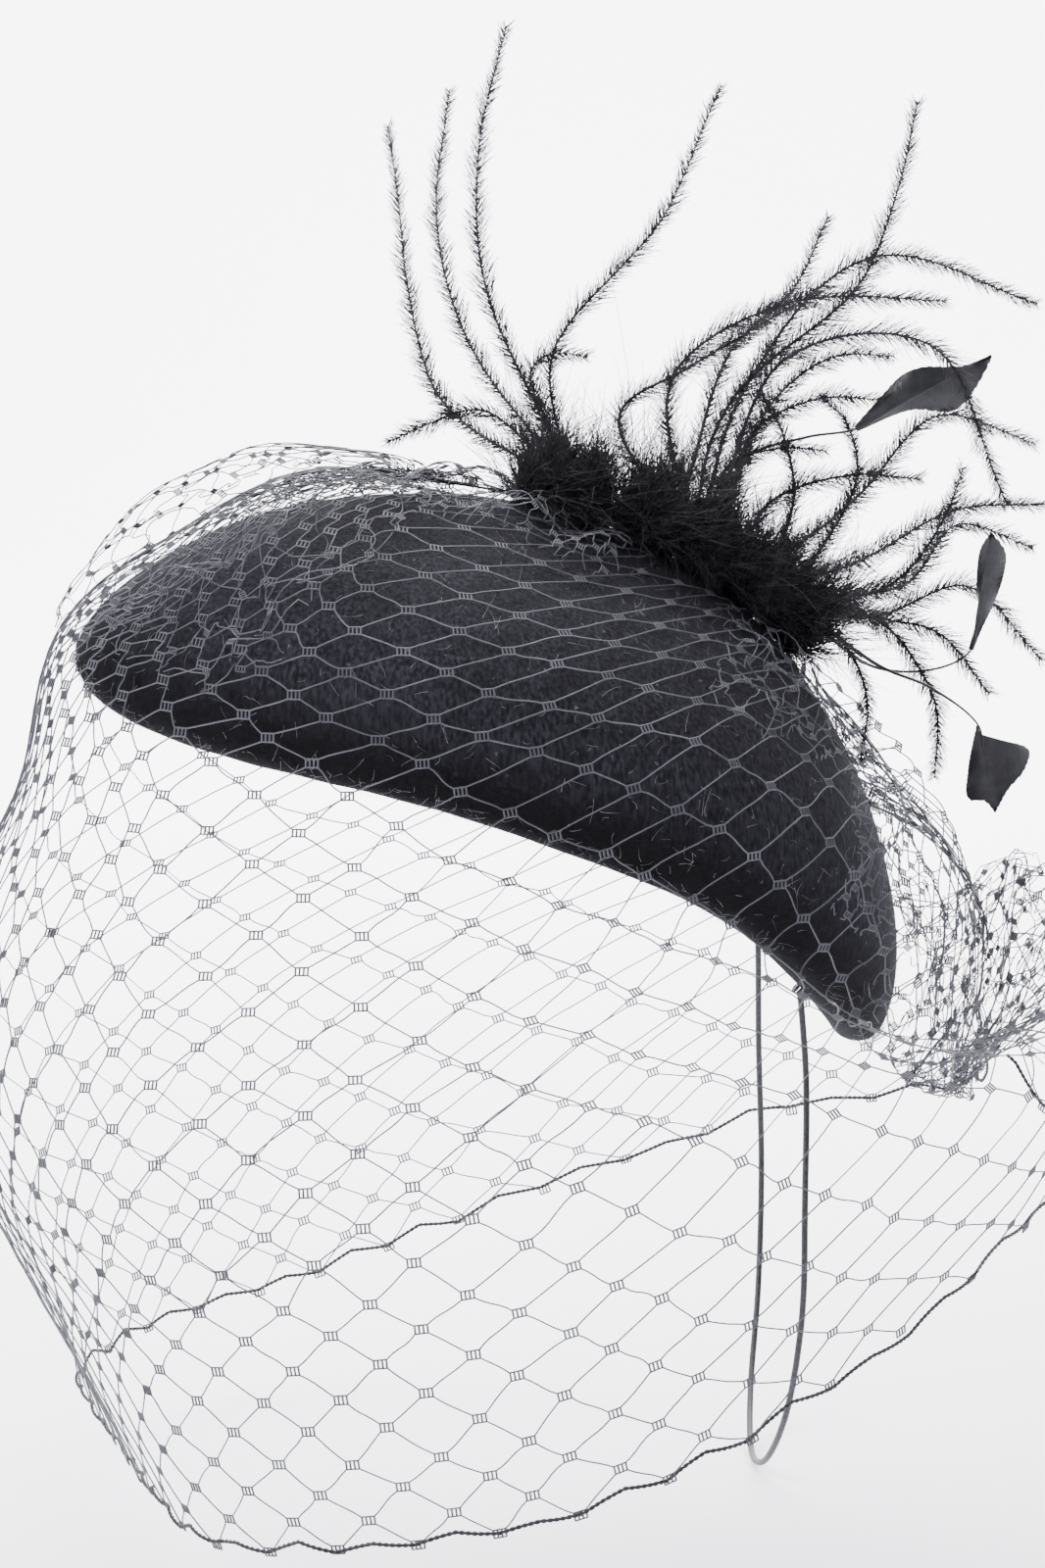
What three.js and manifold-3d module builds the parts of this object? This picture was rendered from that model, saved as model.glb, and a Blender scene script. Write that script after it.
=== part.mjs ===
// A veiled felt hat with feather plumes and an elastic loop, in millimetres, +Z up.
// The origin is the point inside the crown that sits on the top of the head.
// The wearer's face is towards -X, and the near side that the veil shows best is towards -Y.
import * as THREE from "three";
import { mergeVertices } from "three/addons/utils/BufferGeometryUtils.js";
import Module from "manifold-3d";

const wasm = await Module();
wasm.setup();

// Crown: plan lengths from its middle, dome height and how far its ends droop round the head.
const crown_front_length = 108;
const crown_tail_length = 104;
const crown_near_width = 54.5;
const crown_far_width = 59.5;
const crown_height = 40;
const crown_front_droop = 18.8;
const crown_tail_droop = 41.3;
const crown_side_rise = 8;
const crown_tail_flare = 0.067;
const felt_thickness = 2.5;
const edge_roll_radius = 6;
const edge_roll_turn = 120;

// How the crown is worn, in degrees: tipped to the near side, down at the back, turned to the far side.
const side_tip = 30.7;
const back_tip = 19.8;
const face_turn = 17.3;

// Veil: reach along the head, depth across it and drop below the crown's plan.
const veil_reach = 130;
const veil_depth = 110;
const veil_drop = 190;
const veil_thickness = 1.4;
const veil_clearance = 1.3;
const veil_edge_clearance = 3.2;
const veil_middle = 0.08;
const veil_columns = 28;
const veil_rows = 9;
const veil_strand_share = 0.11;
const veil_edge_share = 0.12;

// The slit in the veil that lets the plumes through, measured in the crown's plan from its middle.
const slit_front_length = 45;
const slit_tail_length = 82;
const slit_front_offset = 38;
const slit_tail_offset = 23;
const slit_width = 20;

const hem_thread_diameter = 1.2;
const elastic_diameter = 1.5;
const seat_gap = 0.3;

// Plumes: tuft radii and the spread that the frond tables share out.
const front_tuft_radius = 8;
const back_tuft_radius = 8.5;
const plume_height = 100;
const plume_reach = 100;
const frond_thickness = 1.2;
const quill_diameter = 1.1;
const flag_thickness = 0.8;

const felt = new THREE.MeshStandardMaterial({ color: 0x1c1d24, roughness: 0.95, metalness: 0 });
const netting = new THREE.MeshStandardMaterial({ color: 0x2b2b33, roughness: 0.7, metalness: 0 });
const thread = new THREE.MeshStandardMaterial({ color: 0x0d0d10, roughness: 0.75, metalness: 0 });
const rubber_cord = new THREE.MeshStandardMaterial({ color: 0x0b0b0d, roughness: 0.6, metalness: 0 });
const feather = new THREE.MeshStandardMaterial({ color: 0x111116, roughness: 0.8, metalness: 0 });

const radians = THREE.MathUtils.degToRad;
const lerp = THREE.MathUtils.lerp;
const worn = new THREE.Euler(radians(side_tip), radians(back_tip), radians(face_turn), "ZYX");
const seat = new THREE.Vector3(0, 0, crown_height - felt_thickness).applyEuler(worn);

// A crown point by its direction in plan and its rake: 0 at the top, 90 at the widest line of the dome,
// and beyond that along the turned edge, which rolls inwards.
function crownPoint(direction, rake) {
  const dome = radians(Math.min(rake, 90));
  const roll = radians(Math.max(rake - 90, 0));
  const along = Math.cos(direction) * Math.sin(dome);
  const across = Math.sin(direction) * Math.sin(dome);
  const inset = edge_roll_radius * (1 - Math.cos(roll));
  const length = along > 0 ? crown_tail_length : crown_front_length;
  const width = across > 0 ? crown_far_width : crown_near_width;
  const droop = (along > 0 ? crown_tail_droop : crown_front_droop) * Math.abs(along) ** 2.4;
  const rise = crown_side_rise * across ** 2 * (1 - along ** 2);
  return new THREE.Vector3(
    along * length - inset * Math.cos(direction),
    across * width * (1 + crown_tail_flare * along) - inset * Math.sin(direction),
    crown_height * Math.cos(dome) - edge_roll_radius * Math.sin(roll) - droop + rise,
  );
}

// The outward direction there, from the slopes along both coordinates.
function crownNormal(direction, rake) {
  const steady = Math.max(rake, 2);
  const round = crownPoint(direction + 0.01, steady).sub(crownPoint(direction - 0.01, steady));
  const down = crownPoint(direction, steady + 0.5).sub(crownPoint(direction, steady - 0.5));
  return down.cross(round).normalize();
}

function crownTopNormal() {
  const sum = new THREE.Vector3();
  for (let quarter = 0; quarter < 4; quarter += 1) sum.add(crownNormal((quarter * Math.PI) / 2, 2));
  return sum.normalize();
}

// A point above the felt, in the hat's own frame.
function overCrown(direction, rake, lift) {
  const normal = rake < 2 ? crownTopNormal() : crownNormal(direction, rake);
  return crownPoint(direction, rake).addScaledVector(normal, lift).applyEuler(worn).sub(seat);
}

// The same by plan place: lengths along and across the crown from its middle.
function overPlan(along, across, lift) {
  const share_along = along / (along > 0 ? crown_tail_length : crown_front_length);
  const width = (across > 0 ? crown_far_width : crown_near_width) * (1 + crown_tail_flare * share_along);
  const share_across = across / width;
  const share = Math.min(Math.hypot(share_along, share_across), 1);
  return overCrown(Math.atan2(share_across, share_along), THREE.MathUtils.radToDeg(Math.asin(share)), lift);
}

// How far across the crown the slit lies at a length along it.
function slitAcross(along) {
  const share = (along + slit_front_length) / (slit_front_length + slit_tail_length);
  return lerp(slit_front_offset, slit_tail_offset, share);
}

function closedMesh(name, positions, triangles, material) {
  let volume = 0;
  for (let t = 0; t < triangles.length; t += 3) {
    const [a, b, c] = [0, 1, 2].map((k) => positions[triangles[t + k]]);
    volume += a.dot(b.clone().cross(c));
  }
  const outward = volume > 0 ? triangles : triangles.toReversed();
  const geometry = new THREE.BufferGeometry();
  const numbers = positions.flatMap((p) => p.toArray());
  geometry.setAttribute("position", new THREE.Float32BufferAttribute(numbers, 3));
  geometry.setIndex(outward);
  geometry.computeVertexNormals();
  return named(name, geometry, material);
}

function named(name, geometry, material) {
  const mesh = new THREE.Mesh(geometry, material);
  mesh.name = name;
  return mesh;
}

// The felt: an outer skin and an inner one, a felt thickness apart, joined along the turned edge.
function makeCrown() {
  const segments = 40;
  const rakes = [0, 14, 27, 39, 50, 61, 71, 81, 90, 120, 150, 180, 90 + edge_roll_turn];
  const positions = [];
  const triangles = [];
  const skins = [0, -felt_thickness].map((lift) =>
    rakes.map((rake) => {
      const start = positions.length;
      const count = rake === 0 ? 1 : segments;
      for (let s = 0; s < count; s += 1) {
        positions.push(overCrown((s / segments) * 2 * Math.PI, rake, lift));
      }
      return start;
    }),
  );
  const at = (start, s) => start + (s % segments);
  for (let s = 0; s < segments; s += 1) {
    for (const [rings, flip] of [[skins[0], false], [skins[1], true]]) {
      const fan = [rings[0], at(rings[1], s), at(rings[1], s + 1)];
      triangles.push(...(flip ? fan.toReversed() : fan));
      for (let r = 1; r < rings.length - 1; r += 1) {
        const quad = [at(rings[r], s), at(rings[r + 1], s), at(rings[r + 1], s + 1), at(rings[r], s + 1)];
        pushQuad(triangles, flip ? quad.toReversed() : quad);
      }
    }
    const [outer, inner] = skins.map((rings) => rings.at(-1));
    pushQuad(triangles, [at(outer, s), at(inner, s), at(inner, s + 1), at(outer, s + 1)]);
  }
  return closedMesh("felt_crown", positions, triangles, felt);
}

function pushQuad(triangles, [a, b, c, d]) {
  triangles.push(a, b, c, a, c, d);
}

// Near half of the veil from the tail round to the face, as shares of veil_reach, veil_depth and
// veil_drop: where it bellies out and where its hem hangs. The far half is the same, mirrored across
// veil_middle, which is a share of veil_depth.
// hump and lift are how far it stands off the crown midway and at the edge, as shares of veil_reach.
const veil_ribs = [
  {
    belly_x: 0.92, belly_y: 0.08, belly_z: -0.17,
    hem_x: 0.84, hem_y: 0.08, hem_z: -0.39, hump: 0, lift: 0.12,
  },
  {
    belly_x: 0.95, belly_y: -0.08, belly_z: -0.18,
    hem_x: 0.89, hem_y: -0.06, hem_z: -0.45, hump: 0, lift: 0.13,
  },
  {
    belly_x: 0.92, belly_y: -0.33, belly_z: -0.26,
    hem_x: 0.9, hem_y: -0.28, hem_z: -0.49, hump: 0, lift: 0.1,
  },
  {
    belly_x: 0.64, belly_y: -0.69, belly_z: -0.36,
    hem_x: 0.65, hem_y: -0.58, hem_z: -0.54, hump: 0, lift: 0.03,
  },
  {
    belly_x: 0.32, belly_y: -0.88, belly_z: -0.38,
    hem_x: 0.38, hem_y: -0.77, hem_z: -0.62, hump: 0, lift: 0,
  },
  {
    belly_x: 0.02, belly_y: -0.96, belly_z: -0.41,
    hem_x: 0.07, hem_y: -0.88, hem_z: -0.7, hump: 0, lift: 0,
  },
  {
    belly_x: -0.28, belly_y: -0.96, belly_z: -0.42,
    hem_x: -0.25, hem_y: -0.9, hem_z: -0.77, hump: 0, lift: 0,
  },
  {
    belly_x: -0.59, belly_y: -0.85, belly_z: -0.41,
    hem_x: -0.56, hem_y: -0.79, hem_z: -0.8, hump: 0.01, lift: 0,
  },
  {
    belly_x: -0.88, belly_y: -0.59, belly_z: -0.39,
    hem_x: -0.74, hem_y: -0.55, hem_z: -0.82, hump: 0.03, lift: 0,
  },
  {
    belly_x: -1.02, belly_y: -0.27, belly_z: -0.36,
    hem_x: -0.77, hem_y: -0.27, hem_z: -0.82, hump: 0.05, lift: 0,
  },
  {
    belly_x: -1.05, belly_y: 0.08, belly_z: -0.36,
    hem_x: -0.76, hem_y: 0.08, hem_z: -0.83, hump: 0.06, lift: 0,
  },
];

const veil_turn = new THREE.Euler(0, 0, radians(face_turn));

function veilRing(level) {
  const near = veil_ribs.map((rib) => [rib[`${level}_x`], rib[`${level}_y`], rib[`${level}_z`]]);
  const far = near.slice(1, -1).toReversed().map(([x, y, z]) => [x, 2 * veil_middle - y, z]);
  const points = [...near, ...far].map(([x, y, z]) =>
    new THREE.Vector3(x * veil_reach, y * veil_depth, z * veil_drop).applyEuler(veil_turn).sub(seat),
  );
  return new THREE.CatmullRomCurve3(points, true);
}

const belly_ring = veilRing("belly");
const hem_ring = veilRing("hem");

// How far the veil stands off the crown on its way from the slit, at 0, to the edge, at 1.
function veilStandOff(turn, way) {
  const place = Math.min(turn, 1 - turn) * 2 * (veil_ribs.length - 1);
  const row = Math.min(Math.floor(place), veil_ribs.length - 2);
  const between = (column) => lerp(veil_ribs[row][column], veil_ribs[row + 1][column], place - row);
  const hump = between("hump") * Math.sin(Math.PI * way);
  return veil_reach * (hump + between("lift") * Math.sin((Math.PI / 2) * way));
}

// One line of the veil from the slit over the crown and down to the hem.
const veil_lines = new Map();
function veilLine(turn) {
  const whole = ((turn % 1) + 1) % 1;
  const key = whole.toFixed(5);
  if (!veil_lines.has(key)) {
    const direction = -2 * Math.PI * whole;
    const resting = veil_clearance + veil_thickness / 2;
    const middle = (slit_tail_length - slit_front_length) / 2;
    const half = (slit_tail_length + slit_front_length) / 2;
    const start_along = middle + half * Math.cos(direction);
    const start = [start_along, slitAcross(start_along) + (slit_width / 2) * Math.sin(direction)];
    const leave_along = 0.9 * Math.cos(direction);
    const leave_across = 0.9 * Math.sin(direction);
    const leave_width = leave_across > 0 ? crown_far_width : crown_near_width;
    const end = [
      leave_along * (leave_along > 0 ? crown_tail_length : crown_front_length),
      leave_across * leave_width * (1 + crown_tail_flare * leave_along),
    ];
    const points = [0, 0.2, 0.4, 0.6, 0.8, 1].map((share) => {
      const lift = resting + veilStandOff(whole, share) + veil_edge_clearance * share ** 3;
      return overPlan(
        lerp(start[0], end[0], share),
        lerp(start[1], end[1], share),
        lift,
      );
    });
    const edge_lift = resting + veilStandOff(whole, 1) + veil_edge_clearance;
    const off_edge = overCrown(direction, 95, edge_lift);
    const belly = belly_ring.getPointAt(whole);
    points.push(off_edge, off_edge.clone().lerp(belly, 0.35), belly, hem_ring.getPointAt(whole));
    veil_lines.set(key, new THREE.CatmullRomCurve3(points));
  }
  return veil_lines.get(key);
}

// The veil by column and row of its pattern.
function veilPoint(column, row) {
  const down = THREE.MathUtils.clamp(row / (veil_rows + veil_edge_share), 0, 1);
  return veilLine(column / veil_columns).getPointAt(down);
}

function veilNormal(column, row) {
  const around = veilPoint(column + 0.1, row).sub(veilPoint(column - 0.1, row));
  const down = veilPoint(column, row + 0.1).sub(veilPoint(column, row - 0.1));
  return around.cross(down).normalize();
}

// The net: knots where column and row add up to an even number, gaps round the odd ones, strands between.
// Each flat patch gets an outer and an inner face, and every edge with a patch on one side only gets a wall.
function makeVeil() {
  const reach = 1 - veil_strand_share;
  const steps = 2;
  const patches = [];
  const strand = (from_a, to_a, from_b, to_b) => {
    const mix = (from, to, share) => [lerp(from[0], to[0], share), lerp(from[1], to[1], share)];
    for (let s = 0; s < steps; s += 1) {
      const [here, next] = [s / steps, (s + 1) / steps];
      const [a_here, a_next] = [mix(from_a, to_a, here), mix(from_a, to_a, next)];
      const [b_here, b_next] = [mix(from_b, to_b, here), mix(from_b, to_b, next)];
      patches.push([a_here, b_here, b_next, a_next]);
    }
  };
  for (let i = 0; i < veil_columns; i += 1) {
    for (let j = 0; j <= veil_rows; j += 1) {
      const knot = (i + j) % 2 === 0;
      const left = [i - 1 + reach, j];
      const right = [i + 1 - reach, j];
      const above = [i, j - 1 + reach];
      const below = [i, j + 1 - reach];
      if (knot && j === 0) patches.push([left, below, right]);
      if (knot && j === veil_rows) patches.push([above, left, [i, j], right]);
      if (knot && j > 0 && j < veil_rows) patches.push([above, left, below, right]);
      if (knot && j < veil_rows) strand(right, [i + 1, j + reach], below, [i + reach, j + 1]);
      if (knot && j > 0) strand(above, [i + reach, j - 1], right, [i + 1, j - reach]);
      if (!knot && j === 0) patches.push(...gatheredPatches(i, reach));
      if (j === veil_rows) patches.push(...edgePatches(i, j, knot, reach));
    }
  }
  return solidFromPatches("veil_net", patches);
}

// The veil is gathered along the slit, so the half gaps there are closed.
function gatheredPatches(i, reach) {
  const side = (sign) => [[i + sign * reach, 0], [i + (sign * reach) / 2, reach / 2], [i, reach]];
  const [left, right] = [side(-1), side(1)];
  return [
    [[i, 0], left[0], left[1]],
    [[i, 0], left[1], left[2]],
    [[i, 0], right[1], right[0]],
    [[i, 0], left[2], right[1]],
  ];
}

// The selvage below the last row.
function edgePatches(i, j, knot, reach) {
  const span = knot ? 1 - reach : reach;
  const low = j + veil_edge_share;
  return [
    [[i - span, j], [i - span, low], [i, low], [i, j]],
    [[i, j], [i, low], [i + span, low], [i + span, j]],
  ];
}

function solidFromPatches(name, patches) {
  const positions = [];
  const numbers = new Map();
  const vertex = ([column, row], face) => {
    const wrapped = (column + veil_columns) % veil_columns;
    const key = `${wrapped.toFixed(3)} ${row.toFixed(3)} ${face}`;
    if (!numbers.has(key)) {
      numbers.set(key, positions.length);
      const lift = (face * veil_thickness) / 2;
      positions.push(veilPoint(wrapped, row).addScaledVector(veilNormal(wrapped, row), lift));
    }
    return numbers.get(key);
  };
  const triangles = [];
  const edges = new Map();
  for (const patch of patches) {
    const outer = patch.map((place) => vertex(place, 1));
    const inner = patch.map((place) => vertex(place, -1));
    for (let k = 1; k < patch.length - 1; k += 1) {
      triangles.push(outer[0], outer[k], outer[k + 1]);
      triangles.push(inner[0], inner[k + 1], inner[k]);
    }
    for (let k = 0; k < patch.length; k += 1) {
      const next = (k + 1) % patch.length;
      edges.set(`${outer[k]} ${outer[next]}`, [outer[k], outer[next], inner[next], inner[k]]);
    }
  }
  for (const [a, b, c, d] of edges.values()) {
    if (!edges.has(`${b} ${a}`)) pushQuad(triangles, [b, a, d, c]);
  }
  return closedMesh(name, positions, triangles, netting);
}

function tube(name, curve, diameter, sides, steps, material) {
  const section = new THREE.Shape();
  for (let s = 0; s < sides; s += 1) {
    const angle = ((s + 0.5) / sides) * 2 * Math.PI;
    const [x, y] = [(Math.cos(angle) * diameter) / 2, (Math.sin(angle) * diameter) / 2];
    if (s === 0) section.moveTo(x, y);
    else section.lineTo(x, y);
  }
  section.closePath();
  return named(name, new THREE.ExtrudeGeometry(section, { steps, extrudePath: curve }), material);
}

// The thread hangs just under the selvage and its two ends stop short of each other at the tail.
function makeHemThread() {
  const ends = 0.01;
  const count = 40;
  const drop = hem_thread_diameter / 2 + 3 * seat_gap;
  const points = [];
  for (let s = 0; s <= count; s += 1) {
    const line = veilLine(ends + (1 - 2 * ends) * (s / count));
    points.push(line.getPointAt(1).addScaledVector(line.getTangentAt(1), drop));
  }
  return tube("hem_thread", new THREE.CatmullRomCurve3(points), hem_thread_diameter, 8, 60, thread);
}

// The elastic's route, chosen by hand: from the near edge by the tail down round the nape and up to the
// far edge. Its two ends meet the turned edge.
const elastic_near_direction = -48;
const elastic_far_direction = 48;
const elastic_route = [
  [39, 9, -107],
  [38.5, 3, -134],
  [38, 1, -158],
  [35.5, 10, -183],
  [32, 28, -200],
  [30, 50, -205],
  [31, 73, -196],
  [34, 92, -174],
  [35, 99, -146],
  [34, 97, -115],
  [33, 89, -84],
];

function makeElastic() {
  const lip = (degrees) => overCrown(radians(degrees), 180, 2.5 * seat_gap);
  const points = [
    lip(elastic_near_direction),
    ...elastic_route.map(([x, y, z]) => new THREE.Vector3(x, y, z)),
    lip(elastic_far_direction),
  ];
  return tube("elastic", new THREE.CatmullRomCurve3(points), elastic_diameter, 8, 44, rubber_cord);
}

// Fronds of each plume: root is the place along the tuft, from 0 to 1. low, high and tip are points on the
// stem, as shares of plume_reach along and across and of plume_height up. width is a share of plume_reach.
const front_fronds = [
  { root: 0.5, low: [-0.32, 0.27, 0.67], high: [-0.34, 0.23, 1.01], tip: [-0.28, 0.17, 1.27], width: 0.06 },
  { root: 0.3, low: [-0.37, 0.45, 0.56], high: [-0.44, 0.57, 0.84], tip: [-0.41, 0.67, 1.17], width: 0.06 },
  { root: 0.2, low: [-0.44, 0.49, 0.45], high: [-0.52, 0.63, 0.72], tip: [-0.56, 0.75, 1.09], width: 0.06 },
  { root: 0.5, low: [-0.18, 0.38, 0.55], high: [0.09, 0.47, 0.87], tip: [0.21, 0.51, 1.17], width: 0.06 },
  { root: 0.6, low: [-0.23, 0.35, 0.51], high: [-0.18, 0.39, 0.55], tip: [-0.1, 0.41, 0.54], width: 0.07 },
  { root: 0.1, low: [-0.33, 0.34, 0.42], high: [-0.45, 0.28, 0.4], tip: [-0.55, 0.2, 0.36], width: 0.06 },
];

const back_fronds = [
  { root: 0, low: [-0.03, 0.38, 0.41], high: [0.13, 0.42, 0.52], tip: [0.43, 0.46, 0.7], width: 0.06 },
  { root: 0.15, low: [0.1, 0.35, 0.5], high: [0.34, 0.33, 0.66], tip: [0.71, 0.27, 0.67], width: 0.07 },
  { root: 0.2, low: [0.23, 0.43, 0.45], high: [0.56, 0.53, 0.75], tip: [0.67, 0.61, 1.13], width: 0.07 },
  { root: 0.25, low: [0.27, 0.55, 0.48], high: [0.57, 0.71, 0.77], tip: [1.0, 0.85, 0.68], width: 0.07 },
  { root: 0.1, low: [0.24, 0.59, 0.56], high: [0.4, 0.77, 0.71], tip: [0.5, 0.89, 0.88], width: 0.07 },
  { root: 0.3, low: [0.35, 0.39, 0.53], high: [0.67, 0.29, 0.57], tip: [0.84, 0.19, 0.21], width: 0.07 },
  { root: 0.35, low: [0.34, 0.61, 0.45], high: [0.49, 0.69, 0.55], tip: [0.64, 0.75, 0.55], width: 0.07 },
  { root: 0.4, low: [0.29, 0.49, 0.37], high: [0.44, 0.49, 0.45], tip: [0.59, 0.47, 0.45], width: 0.07 },
  { root: 0.4, low: [0.22, 0.45, 0.3], high: [0.34, 0.41, 0.34], tip: [0.44, 0.37, 0.33], width: 0.07 },
  { root: 0.55, low: [0.33, 0.45, 0.21], high: [0.51, 0.43, 0.27], tip: [0.67, 0.39, 0.27], width: 0.07 },
  { root: 0.9, low: [0.53, 0.55, 0.26], high: [0.5, 0.51, 0.39], tip: [0.43, 0.45, 0.46], width: 0.05 },
  { root: 0.75, low: [0.38, 0.45, 0.22], high: [0.35, 0.37, 0.36], tip: [0.29, 0.31, 0.46], width: 0.05 },
  { root: 0.7, low: [0.56, 0.71, 0.23], high: [0.75, 0.81, 0.4], tip: [0.99, 0.89, 0.33], width: 0.07 },
  { root: 0.9, low: [0.6, 0.51, 0.01], high: [0.71, 0.41, 0.16], tip: [0.75, 0.31, 0.29], width: 0.07 },
  { root: 0.95, low: [0.68, 0.69, 0.02], high: [0.8, 0.77, 0.15], tip: [0.99, 0.83, 0.09], width: 0.07 },
  { root: 0.85, low: [0.62, 0.75, 0.09], high: [0.82, 0.91, 0.18], tip: [1.04, 1.03, 0.2], width: 0.07 },
  { root: 0.9, low: [0.61, 0.75, -0.07], high: [0.82, 0.83, 0], tip: [1.02, 0.89, -0.19], width: 0.07 },
  { root: 1, low: [0.61, 0.55, -0.08], high: [0.71, 0.45, -0.24], tip: [0.7, 0.37, -0.42], width: 0.07 },
  { root: 0.97, low: [0.61, 0.65, -0.07], high: [0.73, 0.59, -0.1], tip: [0.84, 0.51, -0.24], width: 0.07 },
];

const front_tuft = { from: -16, to: -11, radius: front_tuft_radius, rings: 5 };
const back_tuft = { from: 7.5, to: 42, radius: back_tuft_radius, rings: 9 };

function tuftMiddle(tuft, share) {
  const along = lerp(tuft.from, tuft.to, share);
  return overPlan(along, slitAcross(along), seat_gap + tuft.radius);
}

function solidOf(positions, triangles) {
  const vertProperties = Float32Array.from(positions.flatMap((p) => p.toArray()));
  const triVerts = Uint32Array.from(triangles);
  return new wasm.Manifold(new wasm.Mesh({ numProp: 3, vertProperties, triVerts }));
}

function solidOfGeometry(geometry) {
  geometry.deleteAttribute("normal");
  geometry.deleteAttribute("uv");
  const merged = mergeVertices(geometry);
  return new wasm.Manifold(
    new wasm.Mesh({
      numProp: 3,
      vertProperties: merged.getAttribute("position").array,
      triVerts: Uint32Array.from(merged.index.array),
    }),
  );
}

function meshOfSolid(name, solid, material) {
  const { vertProperties, triVerts } = solid.getMesh();
  const geometry = new THREE.BufferGeometry();
  geometry.setAttribute("position", new THREE.BufferAttribute(vertProperties, 3));
  geometry.setIndex(Array.from(triVerts));
  geometry.computeVertexNormals();
  return named(name, geometry, material);
}

// Rings of equal point counts, closed with a fan at each end.
function loftSolid(rings) {
  const sides = rings[0].length;
  const positions = rings.flat();
  const triangles = [];
  const at = (r, s) => r * sides + (s % sides);
  for (let r = 0; r < rings.length - 1; r += 1) {
    for (let s = 0; s < sides; s += 1) {
      pushQuad(triangles, [at(r, s), at(r, s + 1), at(r + 1, s + 1), at(r + 1, s)]);
    }
  }
  for (let s = 1; s < sides - 1; s += 1) {
    triangles.push(at(0, 0), at(0, s + 1), at(0, s));
    triangles.push(at(rings.length - 1, 0), at(rings.length - 1, s), at(rings.length - 1, s + 1));
  }
  const solid = solidOf(positions, triangles);
  return solid.volume() > 0 ? solid : solidOf(positions, triangles.toReversed());
}

// The dense tuft that hides the roots: a lumpy roll that rests on the felt along the slit.
function tuftSolid(tuft) {
  const sides = 8;
  const reach = tuft.to - tuft.from + 2 * tuft.radius;
  const rings = [];
  for (let r = 0; r <= tuft.rings; r += 1) {
    const share = 0.02 + (0.96 * r) / tuft.rings;
    const along = tuft.from - tuft.radius + reach * share;
    const past = Math.max(tuft.from - along, along - tuft.to, 0) / tuft.radius;
    const radius = tuft.radius * Math.sqrt(1 - past ** 2) * (1 + 0.12 * Math.sin(r * 2.4));
    const ring = [];
    for (let s = 0; s < sides; s += 1) {
      const angle = ((s + 0.5) / sides) * 2 * Math.PI;
      const across = slitAcross(along) + radius * Math.cos(angle);
      ring.push(overPlan(along, across, 1.5 * seat_gap + radius * (1 + Math.sin(angle))));
    }
    rings.push(ring);
  }
  return loftSolid(rings);
}

// A stem with its barbs as one flat tapering strip that faces the near side.
function stripSolid(points, steps, widthAt, thickness) {
  const curve = new THREE.CatmullRomCurve3(points);
  const facing = new THREE.Vector3(0, 1, 0);
  const rings = [];
  for (let s = 0; s <= steps; s += 1) {
    const middle = curve.getPointAt(s / steps);
    const along = curve.getTangentAt(s / steps);
    const side = along.clone().cross(facing).normalize();
    const out = side.clone().cross(along).normalize();
    const half = widthAt(s / steps) / 2;
    rings.push([
      middle.clone().addScaledVector(side, half),
      middle.clone().addScaledVector(out, thickness / 2),
      middle.clone().addScaledVector(side, -half),
      middle.clone().addScaledVector(out, -thickness / 2),
    ]);
  }
  return loftSolid(rings);
}

function inPlume([x, y, z]) {
  return new THREE.Vector3(x * plume_reach, y * plume_reach, z * plume_height);
}

function frondSolid(tuft, { root, low, high, tip, width }) {
  const points = [tuftMiddle(tuft, root), inPlume(low), inPlume(high), inPlume(tip)];
  const fullness = (share) => 0.3 + 0.7 * Math.sin(Math.PI * Math.min(0.15 + share * 0.82, 1));
  const widthAt = (share) => width * plume_reach * fullness(share);
  return stripSolid(points, 8, widthAt, frond_thickness);
}

function makePlume(name, tuft, fronds) {
  const solid = fronds.reduce((whole, row) => whole.add(frondSolid(tuft, row)), tuftSolid(tuft));
  return meshOfSolid(name, solid, feather);
}

// Stripped quills with a small trimmed flag, cut off where they enter the tuft. outline runs round the
// flag: along and beside its spine, as shares of the flag's length, from where the quill enters it.
const arrow_feathers = [
  {
    root: 0.45,
    low: [0.27, 0.55, 0.31],
    high: [0.41, 0.51, 0.36],
    tip: [0.52, 0.45, 0.38],
    flag_tip: [0.83, 0.45, 0.55],
    outline: [[0, -0.02], [0.38, -0.07], [0.64, -0.21], [0.95, -0.05], [1, 0], [0.79, 0.03], [0.58, 0.14],
      [0.44, 0.16], [0.21, 0.09], [0, 0.02]],
  },
  {
    root: 0.9,
    low: [0.6, 0.7, -0.19],
    high: [0.73, 0.66, -0.19],
    tip: [0.81, 0.6, -0.14],
    flag_tip: [0.85, 0.58, 0.14],
    outline: [[0, -0.02], [0.16, -0.06], [0.38, -0.13], [0.62, -0.18], [0.84, -0.16], [1, 0], [0.85, 0.06],
      [0.55, 0.04], [0.33, -0.01], [0, 0.02]],
  },
  {
    root: 0.95,
    low: [0.57, 0.39, -0.16],
    high: [0.69, 0.33, -0.21],
    tip: [0.79, 0.28, -0.29],
    flag_tip: [0.83, 0.28, -0.49],
    outline: [[0, -0.03], [0.3, 0.15], [0.32, 0.4], [0.45, 0.56], [0.62, 0.45], [0.78, 0.2], [1, 0],
      [0.86, -0.08], [0.8, -0.25], [0.5, -0.2], [0.2, -0.1]],
  },
];

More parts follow.
